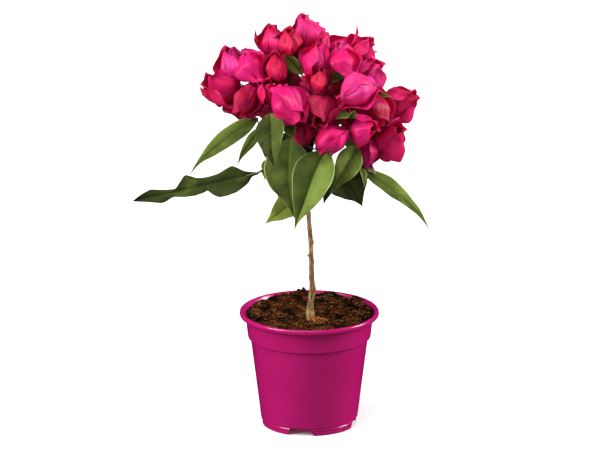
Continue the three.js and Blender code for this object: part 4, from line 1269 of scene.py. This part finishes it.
# Bracts rolled into points: the spray, root, tip, width and tone.
ROLLED = (
    ("upper_right", (36.5, -16, 368), (44, -14, 392), 10, MAGENTA),
    ("left", (-91, -16, 322), (-102, -14, 330.8), 7, MAGENTA),
    ("lower_right", (80, -34, 269), (87, -34, 270), 5, MAGENTA),
    ("upper_left", (-46, -16, 373), (-49.5, -14, 386), 7, CRIMSON),
)
ROLLED_GRID = (24, 9)
detail_rng = np.random.default_rng(77)
BLOSSOMS = [listed or ring_blossoms(at, ring) for _, at, _, listed, ring in SPRAYS]
middles = [np.array(blossom[:3], float) for blossoms in BLOSSOMS for blossom in blossoms]
for piece_name, members in BRACT_PIECES.items():
    bracts = Bundle()
    for number, ((name, at, *_), blossoms) in enumerate(zip(SPRAYS, BLOSSOMS)):
        if name not in members:
            continue
        draw = stream(number + 1)
        for x, y, z, size, tone, nod in blossoms:
            flare = FLARE_LEAST + FLARE_SPAN * next(draw)
            turn = math.radians(120 * next(draw))
            add_blossom(
                bracts, detail_rng, at, (x, y, z), size, tone, nod, flare, turn, BRACT_GRID)
        # Smaller blossoms fill the spray inside the head, clear of those that show.
        mean_way = unit(np.mean([b[:3] for b in blossoms], axis=0) - np.array(at))
        kept = 0
        for _ in range(INNER_TRIES):
            if kept == INNER:
                break
            way = unit(mean_way + 0.9 * detail_rng.normal(size=3))
            spot = np.array(at) + way * detail_rng.uniform(*INNER_REACH)
            flare = detail_rng.uniform(*INNER_FLARES)
            turn = detail_rng.uniform(0, 2 * math.pi)
            apart = min(np.linalg.norm(spot - m) for m in middles)
            if apart < INNER_APART or np.linalg.norm((spot - CROWN_MIDDLE) / CROWN_REACH) > 1:
                continue
            middles.append(spot)
            kept += 1
            size = detail_rng.uniform(*INNER_SIZES)
            # Only the deeper tones, so that the inside of the head is darker: painted shade.
            tone = detail_rng.choice([CRIMSON, WINE, MAGENTA])
            add_blossom(bracts, detail_rng, at, spot, size, tone, None, flare, turn, INNER_GRID)
    for name, root, tip, width, tone in ROLLED:
        if name in members:
            surface = leaf_surface(detail_rng, root, tip, width, 0.6, 0, 0.1, 0, 0)
            add_sheet(bracts, surface, *ROLLED_GRID, BRACT_THICK, (tone, tone), (tone, tone))
    belongs(bracts.piece(piece_name, BRACT_SKINS), "bract",
            *("blossom_" + member for member in members))
belongs(tubes.piece("flower_tubes", [FLOWER_TUBE]), "bract")
belongs(stalks.piece("flower_stalks", [GREEN_STALK]), "leaf")


# The stage
# A plain pale floor, soft studio boxes from both sides and above, and a long lens that
# looks down a little, so that the plant is seen as from a few steps away.
FLOOR_HALF = 6000
corners = FLOOR_HALF * np.array([(-1, -1, 0), (1, -1, 0), (1, 1, 0), (-1, 1, 0)])
floor = from_points("studio_floor", corners, [(0, 1, 2, 3)])
tree, _, PAPER = new_finish("studio_paper")
shader = add_node(tree, "BsdfPrincipled", {
    "Base Color": linear("#f4f4f4"), "Roughness": 0.9, "Specular IOR Level": 0.1})
add_node(tree, "OutputMaterial", {"Surface": shader})
floor.data.materials.append(PAPER)
# The plant is lit as if it stood clear of the floor: no floor light comes back onto it.
floor.visible_glossy = False
floor.visible_diffuse = False

world = bpy.data.worlds.new("studio")
world.use_nodes = True
world.node_tree.nodes.clear()
sky = add_node(world.node_tree, "Background", {"Color": (1, 1, 1, 1), "Strength": 0.5})
add_node(world.node_tree, "OutputWorld", {"Surface": sky})
bpy.context.scene.world = world
# The room round the plant is dark to its gloss, so that only the boxes are mirrored in it.
world.cycles_visibility.glossy = False

AIM = Vector((0, -0.01, 0.24))
# Each box: name, place, width, height and power in watts.
BOXES = (
    ("left_box", (-1.65, -0.95, 1.1), 0.9, 1.1, 54),
    ("right_box", (1.8, 0.05, 0.9), 0.6, 1.0, 56),
)
for name, spot, width, height, power in BOXES:
    light = bpy.data.lights.new(name, "AREA")
    light.shape = "RECTANGLE"
    light.size = width
    light.size_y = height
    light.energy = power
    lamp = placed(name, light)
    lamp.location = spot
    lamp.rotation_euler = (AIM - Vector(spot)).to_track_quat("-Z", "Y").to_euler()

ceiling = bpy.data.lights.new("ceiling", "SUN")
ceiling.energy = 2.0
ceiling.angle = math.radians(50)
placed("ceiling", ceiling).rotation_euler = (math.radians(18), math.radians(-14), 0)

# The pixel that the pot's middle stands on and the photograph's scale at that distance.
FOOT_PIXEL = (309.3, 423)
FRAME_PIXELS = (600, 450)
MM_PER_PIXEL = 0.929
LOOK_DOWN = math.radians(17)
DISTANCE = 10.0
SENSOR = 36.0
frame_width = FRAME_PIXELS[0] * MM_PER_PIXEL * MM
right_shift = (FRAME_PIXELS[0] / 2 - FOOT_PIXEL[0]) * MM_PER_PIXEL * MM
up_shift = (FOOT_PIXEL[1] - FRAME_PIXELS[1] / 2) * MM_PER_PIXEL * MM / math.cos(LOOK_DOWN)
target = Vector((right_shift, 0, up_shift))
lens = bpy.data.cameras.new("long_lens")
lens.sensor_width = SENSOR
lens.lens = SENSOR * DISTANCE / frame_width
lens.clip_end = 60
camera = placed("long_lens", lens)
camera.location = target + Vector((0, -math.cos(LOOK_DOWN), math.sin(LOOK_DOWN))) * DISTANCE
camera.rotation_euler = (math.pi / 2 - LOOK_DOWN, 0, 0)
bpy.context.scene.camera = camera
bpy.context.scene.view_settings.view_transform = "Standard"
